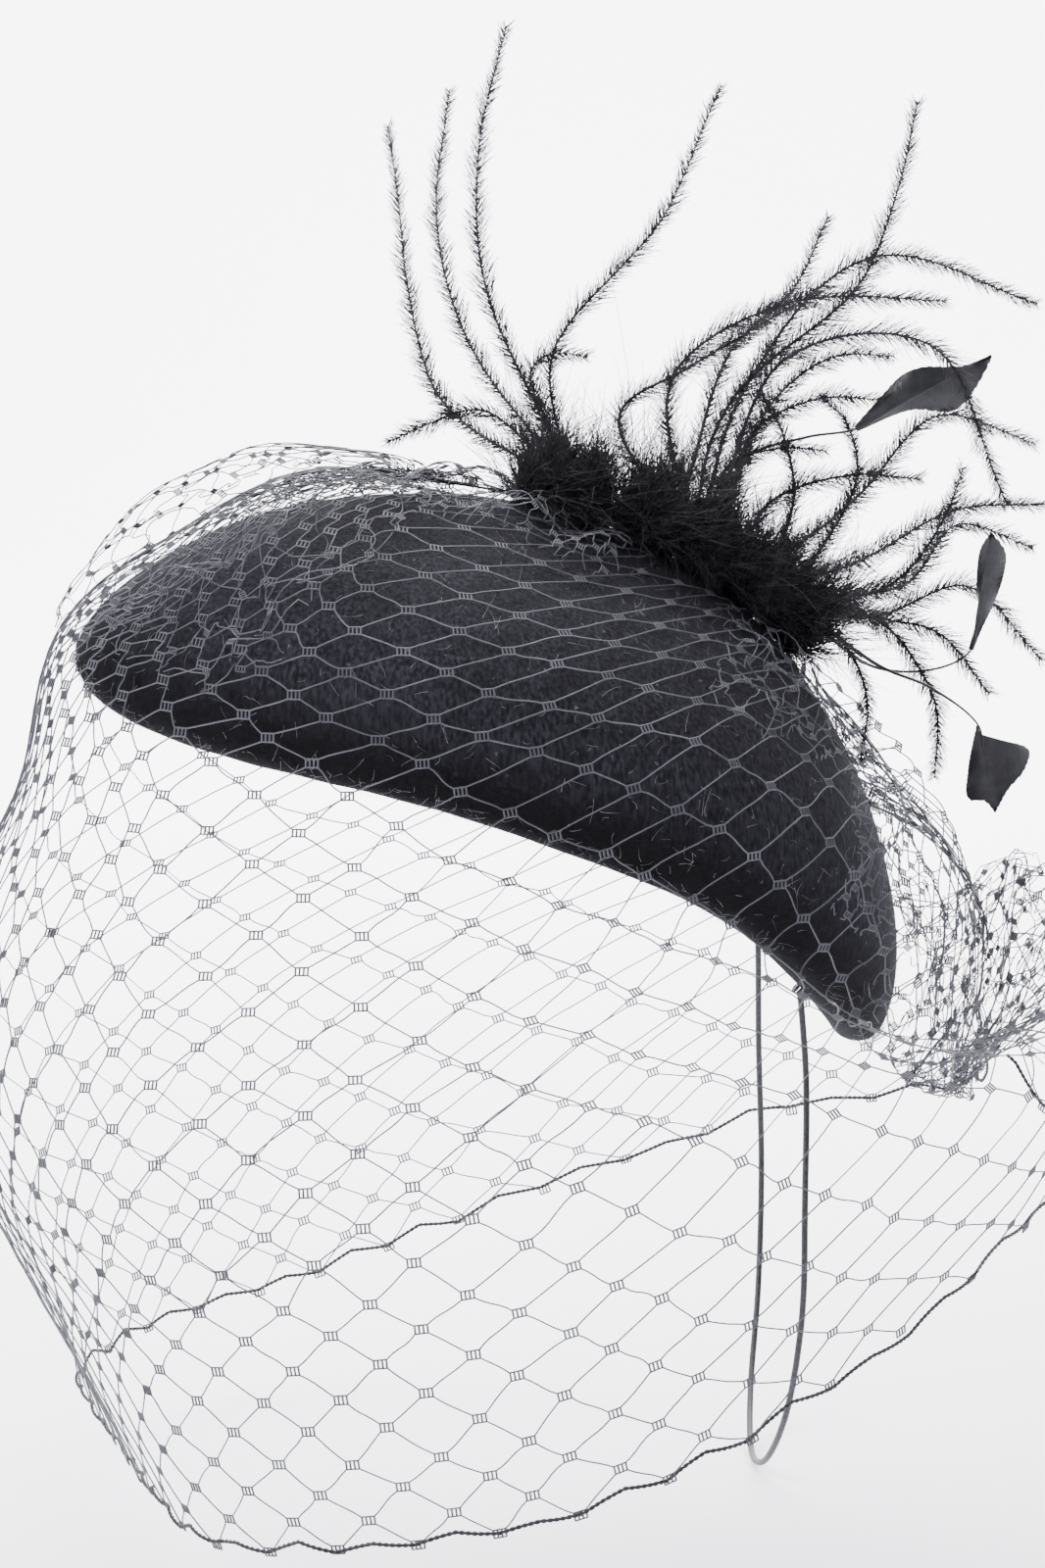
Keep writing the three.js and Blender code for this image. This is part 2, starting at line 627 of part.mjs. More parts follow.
function flagSolid({ tip, flag_tip, outline }) {
  const base = inPlume(tip);
  const spine = inPlume(flag_tip).sub(base);
  const length = spine.length();
  const corners = outline.map(([along, beside]) => new THREE.Vector2(along * length, -beside * length));
  const shape = new THREE.Shape(corners);
  const geometry = new THREE.ExtrudeGeometry(shape, { depth: flag_thickness, bevelEnabled: false });
  const along = spine.normalize();
  const out = along.clone().cross(new THREE.Vector3(0, -1, 0)).normalize();
  const normal = along.clone().cross(out).normalize();
  geometry.translate(0, 0, -flag_thickness / 2);
  geometry.applyMatrix4(new THREE.Matrix4().makeBasis(along, out, normal).setPosition(base));
  return solidOfGeometry(geometry);
}

function makeArrowFeather(row, number) {
  const entry = inPlume(row.tip).lerp(inPlume(row.flag_tip), 0.3);
  const route = [row.low, row.high, row.tip].map(inPlume);
  const points = [tuftMiddle(back_tuft, row.root), ...route, entry];
  const whole = stripSolid(points, 8, () => quill_diameter, quill_diameter);
  const quill = whole.subtract(tuftSolid({ ...back_tuft, radius: back_tuft.radius + seat_gap }));
  return meshOfSolid(`arrow_feather_${number}`, quill.add(flagSolid(row)), feather);
}

const hat = new THREE.Group();
hat.add(makeCrown(), makeVeil(), makeHemThread(), makeElastic());
hat.add(makePlume("plume_front", front_tuft, front_fronds), makePlume("plume_back", back_tuft, back_fronds));
arrow_feathers.forEach((row, index) => hat.add(makeArrowFeather(row, index + 1)));
export default hat;
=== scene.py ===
import math

import bpy
import numpy as np
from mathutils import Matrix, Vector


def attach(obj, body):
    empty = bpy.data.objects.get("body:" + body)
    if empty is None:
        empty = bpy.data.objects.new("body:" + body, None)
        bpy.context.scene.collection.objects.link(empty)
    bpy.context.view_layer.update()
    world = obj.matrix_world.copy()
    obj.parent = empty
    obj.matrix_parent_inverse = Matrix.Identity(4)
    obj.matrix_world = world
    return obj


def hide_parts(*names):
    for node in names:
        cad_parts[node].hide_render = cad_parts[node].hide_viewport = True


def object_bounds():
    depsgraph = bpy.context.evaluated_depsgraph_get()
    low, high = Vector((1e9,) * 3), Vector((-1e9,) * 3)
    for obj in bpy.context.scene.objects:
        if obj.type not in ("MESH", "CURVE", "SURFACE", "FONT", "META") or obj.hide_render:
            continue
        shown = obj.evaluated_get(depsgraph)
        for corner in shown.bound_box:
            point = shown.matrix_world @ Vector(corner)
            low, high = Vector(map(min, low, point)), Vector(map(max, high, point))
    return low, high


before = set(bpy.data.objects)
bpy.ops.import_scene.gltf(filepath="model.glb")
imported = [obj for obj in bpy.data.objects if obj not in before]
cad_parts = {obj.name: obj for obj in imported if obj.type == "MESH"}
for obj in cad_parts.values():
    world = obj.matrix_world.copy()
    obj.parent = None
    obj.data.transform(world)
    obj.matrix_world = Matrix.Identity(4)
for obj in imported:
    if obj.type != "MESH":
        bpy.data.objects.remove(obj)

cad_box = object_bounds()

# Shapes are worked out in millimetres, in the CAD part's own frame and with its own numbers.
crown_front_length = 108
crown_tail_length = 104
crown_near_width = 54.5
crown_far_width = 59.5
crown_height = 40
crown_front_droop = 18.8
crown_tail_droop = 41.3
crown_side_rise = 8
crown_tail_flare = 0.067
crown_droop_power = 2.4
felt_thickness = 2.5
edge_roll_radius = 6
edge_roll_turn = 120
side_tip = 30.7
back_tip = 19.8
face_turn = 17.3
veil_reach = 130
veil_depth = 110
veil_drop = 190
veil_resting = 2.0
veil_edge_clearance = 3.2
veil_middle = 0.08
veil_rim_share = 0.9
veil_edge_rake = 95
veil_flare_share = 0.35
slit_front_length = 45
slit_tail_length = 82
slit_front_offset = 38
slit_tail_offset = 23
slit_width = 20
plume_reach = 100
seat_gap = 0.3


def turned(axis, degrees):
    """The matrix of a turn about the x, y or z axis: 0, 1 or 2."""
    c, s = math.cos(math.radians(degrees)), math.sin(math.radians(degrees))
    a, b = [k for k in range(3) if k != axis]
    matrix = np.eye(3)
    matrix[a, a] = matrix[b, b] = c
    sign = -1 if axis != 1 else 1
    matrix[a, b] = sign * s
    matrix[b, a] = -sign * s
    return matrix


worn = turned(2, face_turn) @ turned(1, back_tip) @ turned(0, side_tip)
seat = worn @ np.array([0, 0, crown_height - felt_thickness])


def crown_point(direction, rake):
    """A point of the crown before it is tipped on the head. Past a rake of 90 degrees it rolls under."""
    dome = np.radians(np.minimum(rake, 90))
    roll = np.radians(np.maximum(rake - 90, 0))
    along = np.cos(direction) * np.sin(dome)
    across = np.sin(direction) * np.sin(dome)
    inset = edge_roll_radius * (1 - np.cos(roll))
    length = np.where(along > 0, crown_tail_length, crown_front_length)
    width = np.where(across > 0, crown_far_width, crown_near_width)
    droop = np.where(along > 0, crown_tail_droop, crown_front_droop) * np.abs(along) ** crown_droop_power
    rise = crown_side_rise * across**2 * (1 - along**2)
    x = along * length - inset * np.cos(direction)
    y = across * width * (1 + crown_tail_flare * along) - inset * np.sin(direction)
    z = crown_height * np.cos(dome) - edge_roll_radius * np.sin(roll) - droop + rise
    return np.stack([x, y, z], -1)


def unit(v):
    return v / np.maximum(np.linalg.norm(v, axis=-1, keepdims=True), 1e-9)


def crown_normal(direction, rake):
    steady = np.maximum(rake, 2)
    across = crown_point(direction + 0.01, steady) - crown_point(direction - 0.01, steady)
    down = crown_point(direction, steady + 0.5) - crown_point(direction, steady - 0.5)
    return unit(np.cross(down, across))


top_normal = unit(sum(crown_normal(np.array(q * math.pi / 2), np.array(2.0)) for q in range(4)))


def over_crown(direction, rake, lift):
    """A point some way off the worn crown's surface."""
    direction, rake, lift = np.broadcast_arrays(*(np.asarray(v, float) for v in (direction, rake, lift)))
    normal = np.where((rake < 2)[..., None], top_normal, crown_normal(direction, rake))
    return (crown_point(direction, rake) + normal * lift[..., None]) @ worn.T - seat


def over_plan(along, across, lift):
    """The same by where it lies in the crown's plan."""
    along, across = np.asarray(along, float), np.asarray(across, float)
    share_along = along / np.where(along > 0, crown_tail_length, crown_front_length)
    width = np.where(across > 0, crown_far_width, crown_near_width) * (1 + crown_tail_flare * share_along)
    share_across = across / width
    share = np.minimum(np.hypot(share_along, share_across), 1)
    return over_crown(np.arctan2(share_across, share_along), np.degrees(np.arcsin(share)), lift)


def slit_across(along):
    """How far across the plan the slit lies, on which the net and the plumes are sewn."""
    share = (along + slit_front_length) / (slit_front_length + slit_tail_length)
    return slit_front_offset + (slit_tail_offset - slit_front_offset) * share


class Spline:
    """A centripetal Catmull-Rom curve read by share of its length."""

    def __init__(self, points, closed=False):
        p = np.asarray(points, float)
        if closed:
            knots = np.concatenate([p[-1:], p, p[:2]])
        else:
            knots = np.concatenate([2 * p[:1] - p[1:2], p, 2 * p[-1:] - p[-2:-1]])
        x0, x1, x2, x3 = knots[:-3], knots[1:-2], knots[2:-1], knots[3:]
        gap = lambda a, b: np.linalg.norm(b - a, axis=1, keepdims=True) ** 0.5
        d0, d1, d2 = gap(x0, x1), gap(x1, x2), gap(x2, x3)
        t1 = ((x1 - x0) / d0 - (x2 - x0) / (d0 + d1) + (x2 - x1) / d1) * d1
        t2 = ((x2 - x1) / d1 - (x3 - x1) / (d1 + d2) + (x3 - x2) / d2) * d1
        self.terms = (x1, t1, -3 * x1 + 3 * x2 - 2 * t1 - t2, 2 * x1 - 2 * x2 + t1 + t2)
        self.count = len(x1)
        self.table = np.linspace(0, 1, 201)
        spots = self.by_parameter(self.table)
        lengths = np.concatenate([[0], np.cumsum(np.linalg.norm(np.diff(spots, axis=0), axis=1))])
        self.length = lengths[-1]
        self.shares = lengths / self.length

    def by_parameter(self, t):
        place = np.asarray(t, float) * self.count
        segment = np.minimum(place.astype(int), self.count - 1)
        w = (place - segment)[..., None]
        c0, c1, c2, c3 = (term[segment] for term in self.terms)
        return c0 + w * (c1 + w * (c2 + w * c3))

    def at(self, share):
        return self.by_parameter(np.interp(share, self.shares, self.table))


# Near half of the veil, from the tail to the face: belly x, y, z, hem x, y, z, hump and lift.
veil_ribs = np.array([
    (0.92, 0.08, -0.17, 0.84, 0.08, -0.39, 0, 0.12),
    (0.95, -0.08, -0.18, 0.89, -0.06, -0.45, 0, 0.13),
    (0.92, -0.33, -0.26, 0.9, -0.28, -0.49, 0, 0.1),
    (0.64, -0.69, -0.36, 0.65, -0.58, -0.54, 0, 0.03),
    (0.32, -0.88, -0.38, 0.38, -0.77, -0.62, 0, 0),
    (0.02, -0.96, -0.41, 0.07, -0.88, -0.7, 0, 0),
    (-0.28, -0.96, -0.42, -0.25, -0.9, -0.77, 0, 0),
    (-0.59, -0.85, -0.41, -0.56, -0.79, -0.8, 0.01, 0),
    (-0.88, -0.59, -0.39, -0.74, -0.55, -0.82, 0.03, 0),
    (-1.02, -0.27, -0.36, -0.77, -0.27, -0.82, 0.05, 0),
    (-1.05, 0.08, -0.36, -0.76, 0.08, -0.83, 0.06, 0),
])


def veil_ring(columns):
    near = veil_ribs[:, columns]
    far = near[-2:0:-1] * (1, -1, 1) + (0, 2 * veil_middle, 0)
    points = np.concatenate([near, far]) * (veil_reach, veil_depth, veil_drop)
    return Spline(points @ turned(2, face_turn).T - seat, closed=True)


belly_ring = veil_ring([0, 1, 2])
hem_ring = veil_ring([3, 4, 5])


def veil_line(turn):
    """One line of the veil, from the slit over the crown's edge and the belly to the hem."""
    direction = -2 * math.pi * turn
    place = min(turn, 1 - turn) * 2 * (len(veil_ribs) - 1)
    hump, lift = (np.interp(place, range(len(veil_ribs)), veil_ribs[:, k]) for k in (6, 7))
    stand = lambda way: veil_reach * (hump * np.sin(math.pi * way) + lift * np.sin(math.pi / 2 * way))
    slit_middle = (slit_tail_length - slit_front_length) / 2
    start_along = slit_middle + (slit_tail_length + slit_front_length) / 2 * math.cos(direction)
    start = np.array([start_along, slit_across(start_along) + slit_width / 2 * math.sin(direction)])
    along, across = veil_rim_share * math.cos(direction), veil_rim_share * math.sin(direction)
    end = np.array([
        along * (crown_tail_length if along > 0 else crown_front_length),
        across * (crown_far_width if across > 0 else crown_near_width) * (1 + crown_tail_flare * along),
    ])
    share = np.linspace(0, 1, 6)
    plan = start + (end - start) * share[:, None]
    over = over_plan(plan[:, 0], plan[:, 1], veil_resting + stand(share) + veil_edge_clearance * share**3)
    off_edge = over_crown(direction, veil_edge_rake, veil_resting + stand(1) + veil_edge_clearance)
    belly = belly_ring.at(turn)
    flare = off_edge + veil_flare_share * (belly - off_edge)
    return Spline([*over, off_edge, flare, belly, hem_ring.at(turn)])


# Meshes

def ripple(points, wavelength, seed, waves=7):
    """A smooth random vector for every point, about 1 long, the same on each run."""
    random = np.random.default_rng(seed)
    total = np.zeros(points.shape)
    for _ in range(waves):
        wave = unit(random.normal(size=3)) * (2 * math.pi / wavelength) * random.uniform(0.7, 1.4)
        phase = random.uniform(0, 2 * math.pi)
        total += np.sin(points @ wave + phase)[..., None] * random.normal(size=3)
    return total / waves**0.5


def tubes(paths, radius, sides=4):
    """Round threads along paths of equal step counts: points and quads."""
    paths = np.asarray(paths, float)
    count, steps = paths.shape[:2]
    tangent = unit(np.gradient(paths, axis=1) + 1e-9)
    axis = np.eye(3)[np.argmin(np.abs(tangent.mean(1)), axis=1)][:, None, :]
    side = unit(np.cross(tangent, axis))
    other = np.cross(tangent, side)
    angle = 2 * math.pi * np.arange(sides) / sides
    ring = side[:, :, None] * np.cos(angle)[:, None] + other[:, :, None] * np.sin(angle)[:, None]
    radius = np.broadcast_to(radius, (count, steps))[..., None, None]
    points = (paths[:, :, None] + ring * radius).reshape(-1, 3)
    start = (np.arange(count)[:, None, None] * steps + np.arange(steps - 1)[None, :, None]) * sides
    here = np.arange(sides)
    after = (here + 1) % sides
    quads = np.stack([start + here, start + after, start + sides + after, start + sides + here], -1)
    return points, quads.reshape(-1, 4)


def joined(parts):
    """Several lots of points and quads as one."""
    points, quads, count = [], [], 0
    for part_points, part_quads in parts:
        points.append(part_points)
        quads.append(part_quads + count)
        count += len(part_points)
    return np.concatenate(points), np.concatenate(quads)


def piece(name, parts, material, replaced=None, shade=None):
    """One piece of the scene from points in millimetres. Shade is how much painted shade each point gets
    where the edge turns under.
    """
    points, quads = joined(parts)
    mesh = bpy.data.meshes.new(name)
    mesh.from_pydata((points / 1000).tolist(), [], quads.tolist())
    mesh.shade_smooth()
    if shade is not None:
        values = mesh.attributes.new("painted_edge_shade", "FLOAT", "POINT").data
        values.foreach_set("value", shade.astype(np.float32))
    mesh.materials.append(material)
    made = bpy.data.objects.new(name, mesh)
    bpy.context.scene.collection.objects.link(made)
    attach(made, "root")
    if replaced:
        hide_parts(replaced)


def grid_quads(rows, columns, closed):
    """Quads over rows of points, each row closed on itself or not."""
    across = np.arange(columns if closed else columns - 1)
    start = np.arange(rows - 1)[:, None] * columns
    after = (across + 1) % columns
    below = start + columns
    quads = np.stack([start + across, start + after, below + after, below + across], -1)
    return quads.reshape(-1, 4)


# Materials

def new_material(name, roughness):
    made = bpy.data.materials.new(name)
    made.use_nodes = True
    shader = made.node_tree.nodes["Principled BSDF"]
    shader.inputs["Roughness"].default_value = roughness
    return made, shader


def noise_node(made, scale, detail, stretch=(1, 1, 1)):
    """Noise in object space. A stretch under 1 draws it out along that axis."""
    nodes, links = made.node_tree.nodes, made.node_tree.links
    place = nodes.new("ShaderNodeTexCoord")
    mapping = nodes.new("ShaderNodeMapping")
    mapping.inputs["Scale"].default_value = stretch
    texture = nodes.new("ShaderNodeTexNoise")
    texture.inputs["Scale"].default_value = scale
    texture.inputs["Detail"].default_value = detail
    links.new(place.outputs["Object"], mapping.inputs["Vector"])
    links.new(mapping.outputs["Vector"], texture.inputs["Vector"])
    return texture.outputs["Fac"]


def ramp_node(made, factor, stops):
    """Colours by factor, as stops of place and colour."""
    nodes, links = made.node_tree.nodes, made.node_tree.links
    ramp = nodes.new("ShaderNodeValToRGB")
    for element, (place, color) in zip(ramp.color_ramp.elements, stops):
        element.position = place
        element.color = (*color, 1)
    links.new(factor, ramp.inputs["Fac"])
    return ramp.outputs["Color"]


def mix_node(made, factor, first, second):
    nodes, links = made.node_tree.nodes, made.node_tree.links
    mix = nodes.new("ShaderNodeMix")
    mix.data_type = "RGBA"
    links.new(factor, mix.inputs["Factor"])
    links.new(first, mix.inputs["A"])
    links.new(second, mix.inputs["B"])
    return mix.outputs["Result"]


def add_bump(made, shader, height, strength, distance):
    nodes, links = made.node_tree.nodes, made.node_tree.links
    bump = nodes.new("ShaderNodeBump")
    bump.inputs["Strength"].default_value = strength
    bump.inputs["Distance"].default_value = distance
    links.new(height, bump.inputs["Height"])
    links.new(bump.outputs["Normal"], shader.inputs["Normal"])


def felt_material():
    """Clouds and fibres of near-black wool with pale specks, and painted shade where the edge turns under."""
    made, shader = new_material("wool_felt", 0.95)
    cloudy = ramp_node(
        made, noise_node(made, 45, 3),
        [(0.3, (0.0058, 0.0054, 0.008)), (0.7, (0.0115, 0.0107, 0.0152))],
    )
    fibres = ramp_node(
        made, noise_node(made, 1300, 8, (1, 1, 0.35)),
        [(0.38, (0.0025, 0.0025, 0.004)), (0.64, (0.03, 0.029, 0.037))],
    )
    patches = noise_node(made, 170, 4)
    specks = ramp_node(made, noise_node(made, 620, 2.5), [(0.69, (0, 0, 0)), (0.75, (1, 1, 1))])
    pale = ramp_node(
        made, noise_node(made, 60, 2),
        [(0.3, (0.03, 0.03, 0.038)), (0.7, (0.085, 0.083, 0.095))],
    )
    # Painted shade: a near-black that stands in for the shade where the felt's edge turns under.
    painted_shade_color = ramp_node(
        made, noise_node(made, 700, 4),
        [(0.3, (0.0005, 0.0005, 0.0007)), (0.7, (0.0022, 0.0021, 0.003))],
    )
    # The mask of the painted shade, stored on the points.
    edge = made.node_tree.nodes.new("ShaderNodeAttribute")
    edge.attribute_name = "painted_edge_shade"
    cloth = mix_node(made, patches, cloudy, fibres)
    cloth = mix_node(made, specks, cloth, pale)
    cloth = mix_node(made, edge.outputs["Fac"], cloth, painted_shade_color)
    made.node_tree.links.new(cloth, shader.inputs["Base Color"])
    add_bump(made, shader, noise_node(made, 1100, 8), 0.55, 0.0005)
    shader.inputs["Sheen Weight"].default_value = 0.01
    shader.inputs["Sheen Roughness"].default_value = 0.55
    shader.inputs["Sheen Tint"].default_value = (0.75, 0.78, 0.95, 1)
    shader.inputs["Specular IOR Level"].default_value = 0.1
    return made


def yarn_material(name, dark, light, roughness, scale):
    made, shader = new_material(name, roughness)
    shades = ramp_node(made, noise_node(made, scale, 4), [(0.35, dark), (0.65, light)])
    made.node_tree.links.new(shades, shader.inputs["Base Color"])
    add_bump(made, shader, noise_node(made, 3500, 3), 0.4, 0.0001)
    shader.inputs["Specular IOR Level"].default_value = 0.35
    return made


def feather_material(name, dark, light, roughness):
    made, shader = new_material(name, roughness)
    shades = ramp_node(made, noise_node(made, 260, 5), [(0.35, dark), (0.7, light)])
    made.node_tree.links.new(shades, shader.inputs["Base Color"])
    add_bump(made, shader, noise_node(made, 2200, 4, (1, 1, 0.25)), 0.5, 0.00015)
    shader.inputs["Sheen Weight"].default_value = 0.02
    shader.inputs["Specular IOR Level"].default_value = 0.3
    return made


felt = felt_material()
lint = yarn_material("lint", (0.09, 0.09, 0.1), (0.3, 0.29, 0.3), 0.9, 90)
netting = yarn_material("net_yarn", (0.024, 0.024, 0.031), (0.05, 0.05, 0.063), 0.5, 60)
thread = yarn_material("black_thread", (0.006, 0.006, 0.008), (0.022, 0.022, 0.027), 0.6, 900)
elastic_cover = yarn_material("elastic_cover", (0.004, 0.004, 0.005), (0.02, 0.02, 0.023), 0.5, 1400)
down = feather_material("black_down", (0.003, 0.003, 0.004), (0.016, 0.016, 0.021), 0.75)
vane = feather_material("black_vane", (0.004, 0.004, 0.005), (0.014, 0.014, 0.018), 0.42)


# Camera

camera_lens = 85
camera_sensor = 36
camera_place = (-0.0247, -0.8114, 0.0458)
camera_tilt = 84


def make_camera():
    data = bpy.data.cameras.new("camera")
    data.lens = camera_lens
    data.sensor_fit = "VERTICAL"
    data.sensor_height = camera_sensor
    camera = bpy.data.objects.new("camera", data)
    camera.location = camera_place
    camera.rotation_euler = (math.radians(camera_tilt), 0, 0)
    bpy.context.scene.collection.objects.link(camera)
    bpy.context.scene.camera = camera


# Elastic

elastic_diameter = 1.5
elastic_directions = (-48, 48)
stitch_count = 7
stitch_radius = 1.15
stitch_thread = 0.2
stitch_spread = 1.4

# The way it hangs from its near end to its far one, round the back of a head that is left out.
elastic_route = [
    (39, 9, -107), (38.5, 3, -134), (38, 1, -158), (35.5, 10, -183), (32, 28, -200), (30, 50, -205),
    (31, 73, -196), (34, 92, -174), (35, 99, -146), (34, 97, -115), (33, 89, -84),
]


def elastic_lip(degrees):
    """Where the elastic ends on the turned edge."""
    return over_crown(math.radians(degrees), 180, 2.5 * seat_gap)


def make_elastic():
    near, far = (elastic_lip(direction) for direction in elastic_directions)
    route = Spline([near, *elastic_route, far])
    points = route.at(np.linspace(0, 1, 38)) / 1000
    data = bpy.data.curves.new("elastic_loop", "CURVE")
    data.dimensions = "3D"
    data.bevel_depth = elastic_diameter / 2000
    data.bevel_resolution = 4
    data.use_fill_caps = True
    spline = data.splines.new("BEZIER")
    spline.bezier_points.add(len(points) - 1)
    for knot, point in zip(spline.bezier_points, points):
        knot.co = point
        knot.handle_left_type = knot.handle_right_type = "AUTO"
    data.materials.append(elastic_cover)
    made = bpy.data.objects.new("elastic_loop", data)
    bpy.context.scene.collection.objects.link(made)
    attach(made, "root")
    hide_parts("elastic")


def make_stitches():
    """A few stitches that hold each end of the elastic on the turned edge."""
    paths = []
    for number, degrees in enumerate(elastic_directions):
        middle = elastic_lip(degrees)
        along = unit(elastic_lip(degrees + 2) - elastic_lip(degrees - 2))
        inward = unit(over_crown(math.radians(degrees), 195, 1) - over_crown(math.radians(degrees), 165, 1))
        out = unit(np.cross(along, inward))
        random = np.random.default_rng(40 + number)
        for _ in range(stitch_count):
            turn = np.linspace(0, 2 * math.pi, 13)[:, None]
            lean = random.uniform(-0.5, 0.5)
            loop = np.cos(turn) * (along + lean * inward) * stitch_radius + np.sin(turn) * out * stitch_radius
            paths.append(middle + loop + inward * random.uniform(-stitch_spread, stitch_spread))
    piece("elastic_stitches", [tubes(paths, stitch_thread)], thread)


# Felt crown

crown_segments = 192

# Slow and fine unevenness of the pressed felt: wavelength, seed and height.
felt_waves = ((52, 3, 0.28), (17, 4, 0.07))

# The rake at which painted shade begins on the turned edge, how soon it is darkest, and how dark.
shade_start = 60
shade_reach = 27
shade_depth = 0.97

# Hairs on the felt: its own short wool, and fewer, longer and paler bits of lint.
felt_hairs = [
    {"name": "felt_fuzz", "count": 6000, "material": felt, "longest": 2.4, "radius": 0.035, "seed": 11},
    {"name": "felt_lint", "count": 1500, "material": lint, "longest": 4.2, "radius": 0.034, "seed": 12},
]
hair_steps = 4
hair_sides = 3


def crown_skin(directions, rakes, lift):
    points = skin = over_crown(*np.meshgrid(directions, rakes), lift)
    for wavelength, seed, height in felt_waves:
        skin = skin + ripple(points, wavelength, seed) * height
    return skin


def painted_edge_shade(rakes):
    """How much painted shade the felt gets, 0 to 1, where it turns under."""
    share = np.clip((rakes - shade_start) / shade_reach, 0, 1)
    return shade_depth * share * share * (3 - 2 * share)


def make_crown():
    """The felt body: rings from the top down the dome and round the turned edge, outside and inside."""
    directions = np.arange(crown_segments) / crown_segments * 2 * math.pi
    rakes = np.concatenate([[0.2], np.arange(3, 90, 3), np.arange(90, 91 + edge_roll_turn, 8)])
    outer = crown_skin(directions, rakes, 0)
    inner = crown_skin(directions, rakes, -felt_thickness)
    rings = np.concatenate([inner, outer[::-1]])
    # Painted shade on every point, darkest round the turned edge.
    shade = np.repeat(painted_edge_shade(np.concatenate([rakes, rakes[::-1]])), crown_segments)
    skin = rings.reshape(-1, 3), grid_quads(len(rings), crown_segments, True)
    piece("felt_body", [skin], felt, "felt_crown", shade)


def hair_tubes(start, heading, normal, length, curl, radius, random):
    """Short hairs from start that head one way, lift off, curl at random and taper."""
    share = np.linspace(0, 1, hair_steps)[None, :, None]
    bend = unit(random.normal(size=start.shape))
    course = heading[:, None] * share + normal[:, None] * 0.3 * share + bend[:, None] * curl * share**2
    paths = start[:, None] + course * length[:, None, None]
    return tubes(paths, radius * np.linspace(1, 0.3, hair_steps), hair_sides)


def make_fuzz():
    for row in felt_hairs:
        random = np.random.default_rng(row["seed"])
        count = row["count"]
        direction = random.uniform(0, 2 * math.pi, count)
        near_edge = random.uniform(size=count) < 0.55
        rake = np.where(near_edge, random.normal(105, 22, count), random.uniform(5, 100, count))
        rake = np.clip(rake, 3, 185)
        start = over_crown(direction, rake, 0.1)
        normal = unit(over_crown(direction, rake, 1) - over_crown(direction, rake, 0))
        heading = unit(np.cross(normal, random.normal(size=normal.shape)))
        length = row["longest"] * random.uniform(0.25, 1, count)
        hairs = hair_tubes(start, heading, normal, length, 0.6, row["radius"], random)
        # The hairs take the same painted shade as the felt near its turned edge.
        shade = np.repeat(painted_edge_shade(rake), hair_steps * hair_sides)
        piece(row["name"], [hairs], row["material"], shade=shade)


# Veil

veil_turns = 320
veil_ways = 129
veil_lines = [veil_line(turn / veil_turns) for turn in range(veil_turns)]
veil_grid = np.stack([line.at(np.linspace(0, 1, veil_ways)) for line in veil_lines])
veil_lengths = np.array([line.length for line in veil_lines])

# How the net's gaps are shared out: for each of four ways down the veil, how many would fit in one turn
# if they were as close as between each two listed turns. They crowd where the net is gathered. The far
# half is a mirror image of the near one but for its top row, where the net lies evenly.
net_turns = np.array([0, 0.1, 0.15, 0.2, 0.25, 0.3, 0.35, 0.4, 0.45, 0.5])
net_ways = np.array([0.14, 0.36, 0.54, 0.9])
net_density = np.array([
    (50, 29, 29, 25, 24, 23, 22, 66, 80),
    (42, 40, 36, 30, 30, 31, 31, 48, 70),
    (42, 40, 36, 30, 30, 31, 31, 48, 70),
    (33, 33, 32, 33, 40, 44, 47, 52, 53),
])
far_density = np.array([(45, 40, 40, 40, 38, 38, 38, 38, 38), *net_density[1:]])
net_columns = 80
net_row_count = 45

# The way at which the net is sewn on, and the one past which it no longer rests on the felt.
slit_way = 0.01
resting_way = 0.34

# How far the net sinks to the felt or sways off its surface, and how long the swaying is.
net_sway = 1.1
sway_length = 60

# Half the size of the ladder at each knot, its bars across that half, and the points of one strand.
ladder_width = 1.35
ladder_height = 0.9
ladder_bars = (-0.96, -0.34, 0.3, 0.92)
strand_steps = 6


def net_table(density):
    """The turn of each listed place by its count of gaps, for every listed way down the veil."""
    gaps = 2 * np.cumsum(density * np.diff(net_turns), axis=1)
    return np.concatenate([np.zeros((len(net_ways), 1)), gaps], axis=1) / gaps[:, -1:] * net_columns / 2


net_tables = net_table(net_density), net_table(far_density)

# Rows of knots up from the hem, and their height along the veil.
net_rows = (0, 8, 13.2, 22.9, 32.3, 43.4)
net_heights = (-2.5, 50, 90, 170, 230, 300)
row_past_hem = 6


def net_turn(column, way):
    """The turn at which a column of knots lies at one way down the veil."""
    column, way = np.broadcast_arrays(np.asarray(column, float), np.asarray(way, float))
    whole = np.floor(column / net_columns)
    column = column - whole * net_columns
    far = column > net_columns / 2
    near = np.where(far, net_columns - column, column)
    turns = np.stack([
        np.where(far, np.interp(near, far_counts, net_turns), np.interp(near, near_counts, net_turns))
        for near_counts, far_counts in zip(*net_tables)
    ])
    level = np.interp(way, net_ways, range(len(net_ways)))
    low = np.minimum(level.astype(int), len(net_ways) - 2)
    pick = lambda k: np.take_along_axis(turns, k[None], 0)[0]
    turn = pick(low) + (pick(low + 1) - pick(low)) * (level - low)
    return np.where(far, 1 - turn, turn) + whole


def veil_length(turn):
    lengths = np.append(veil_lengths, veil_lengths[0])
    return np.interp(turn % 1 * veil_turns, np.arange(veil_turns + 1), lengths)


def on_veil(turn, way):
    """A point of the veil's surface, carried on straight past the hem."""
    turn, way = np.broadcast_arrays(np.asarray(turn, float), np.asarray(way, float))
    place = turn % 1 * veil_turns
    column = place.astype(int) % veil_turns
    across = (place - np.floor(place))[..., None]
    depth = np.clip(way, 0, None) * (veil_ways - 1)
    row = np.minimum(depth.astype(int), veil_ways - 2)
    below = (depth - row)[..., None]
    after = (column + 1) % veil_turns
    upper = veil_grid[column, row] * (1 - across) + veil_grid[after, row] * across
    lower = veil_grid[column, row + 1] * (1 - across) + veil_grid[after, row + 1] * across
    return upper + (lower - upper) * below


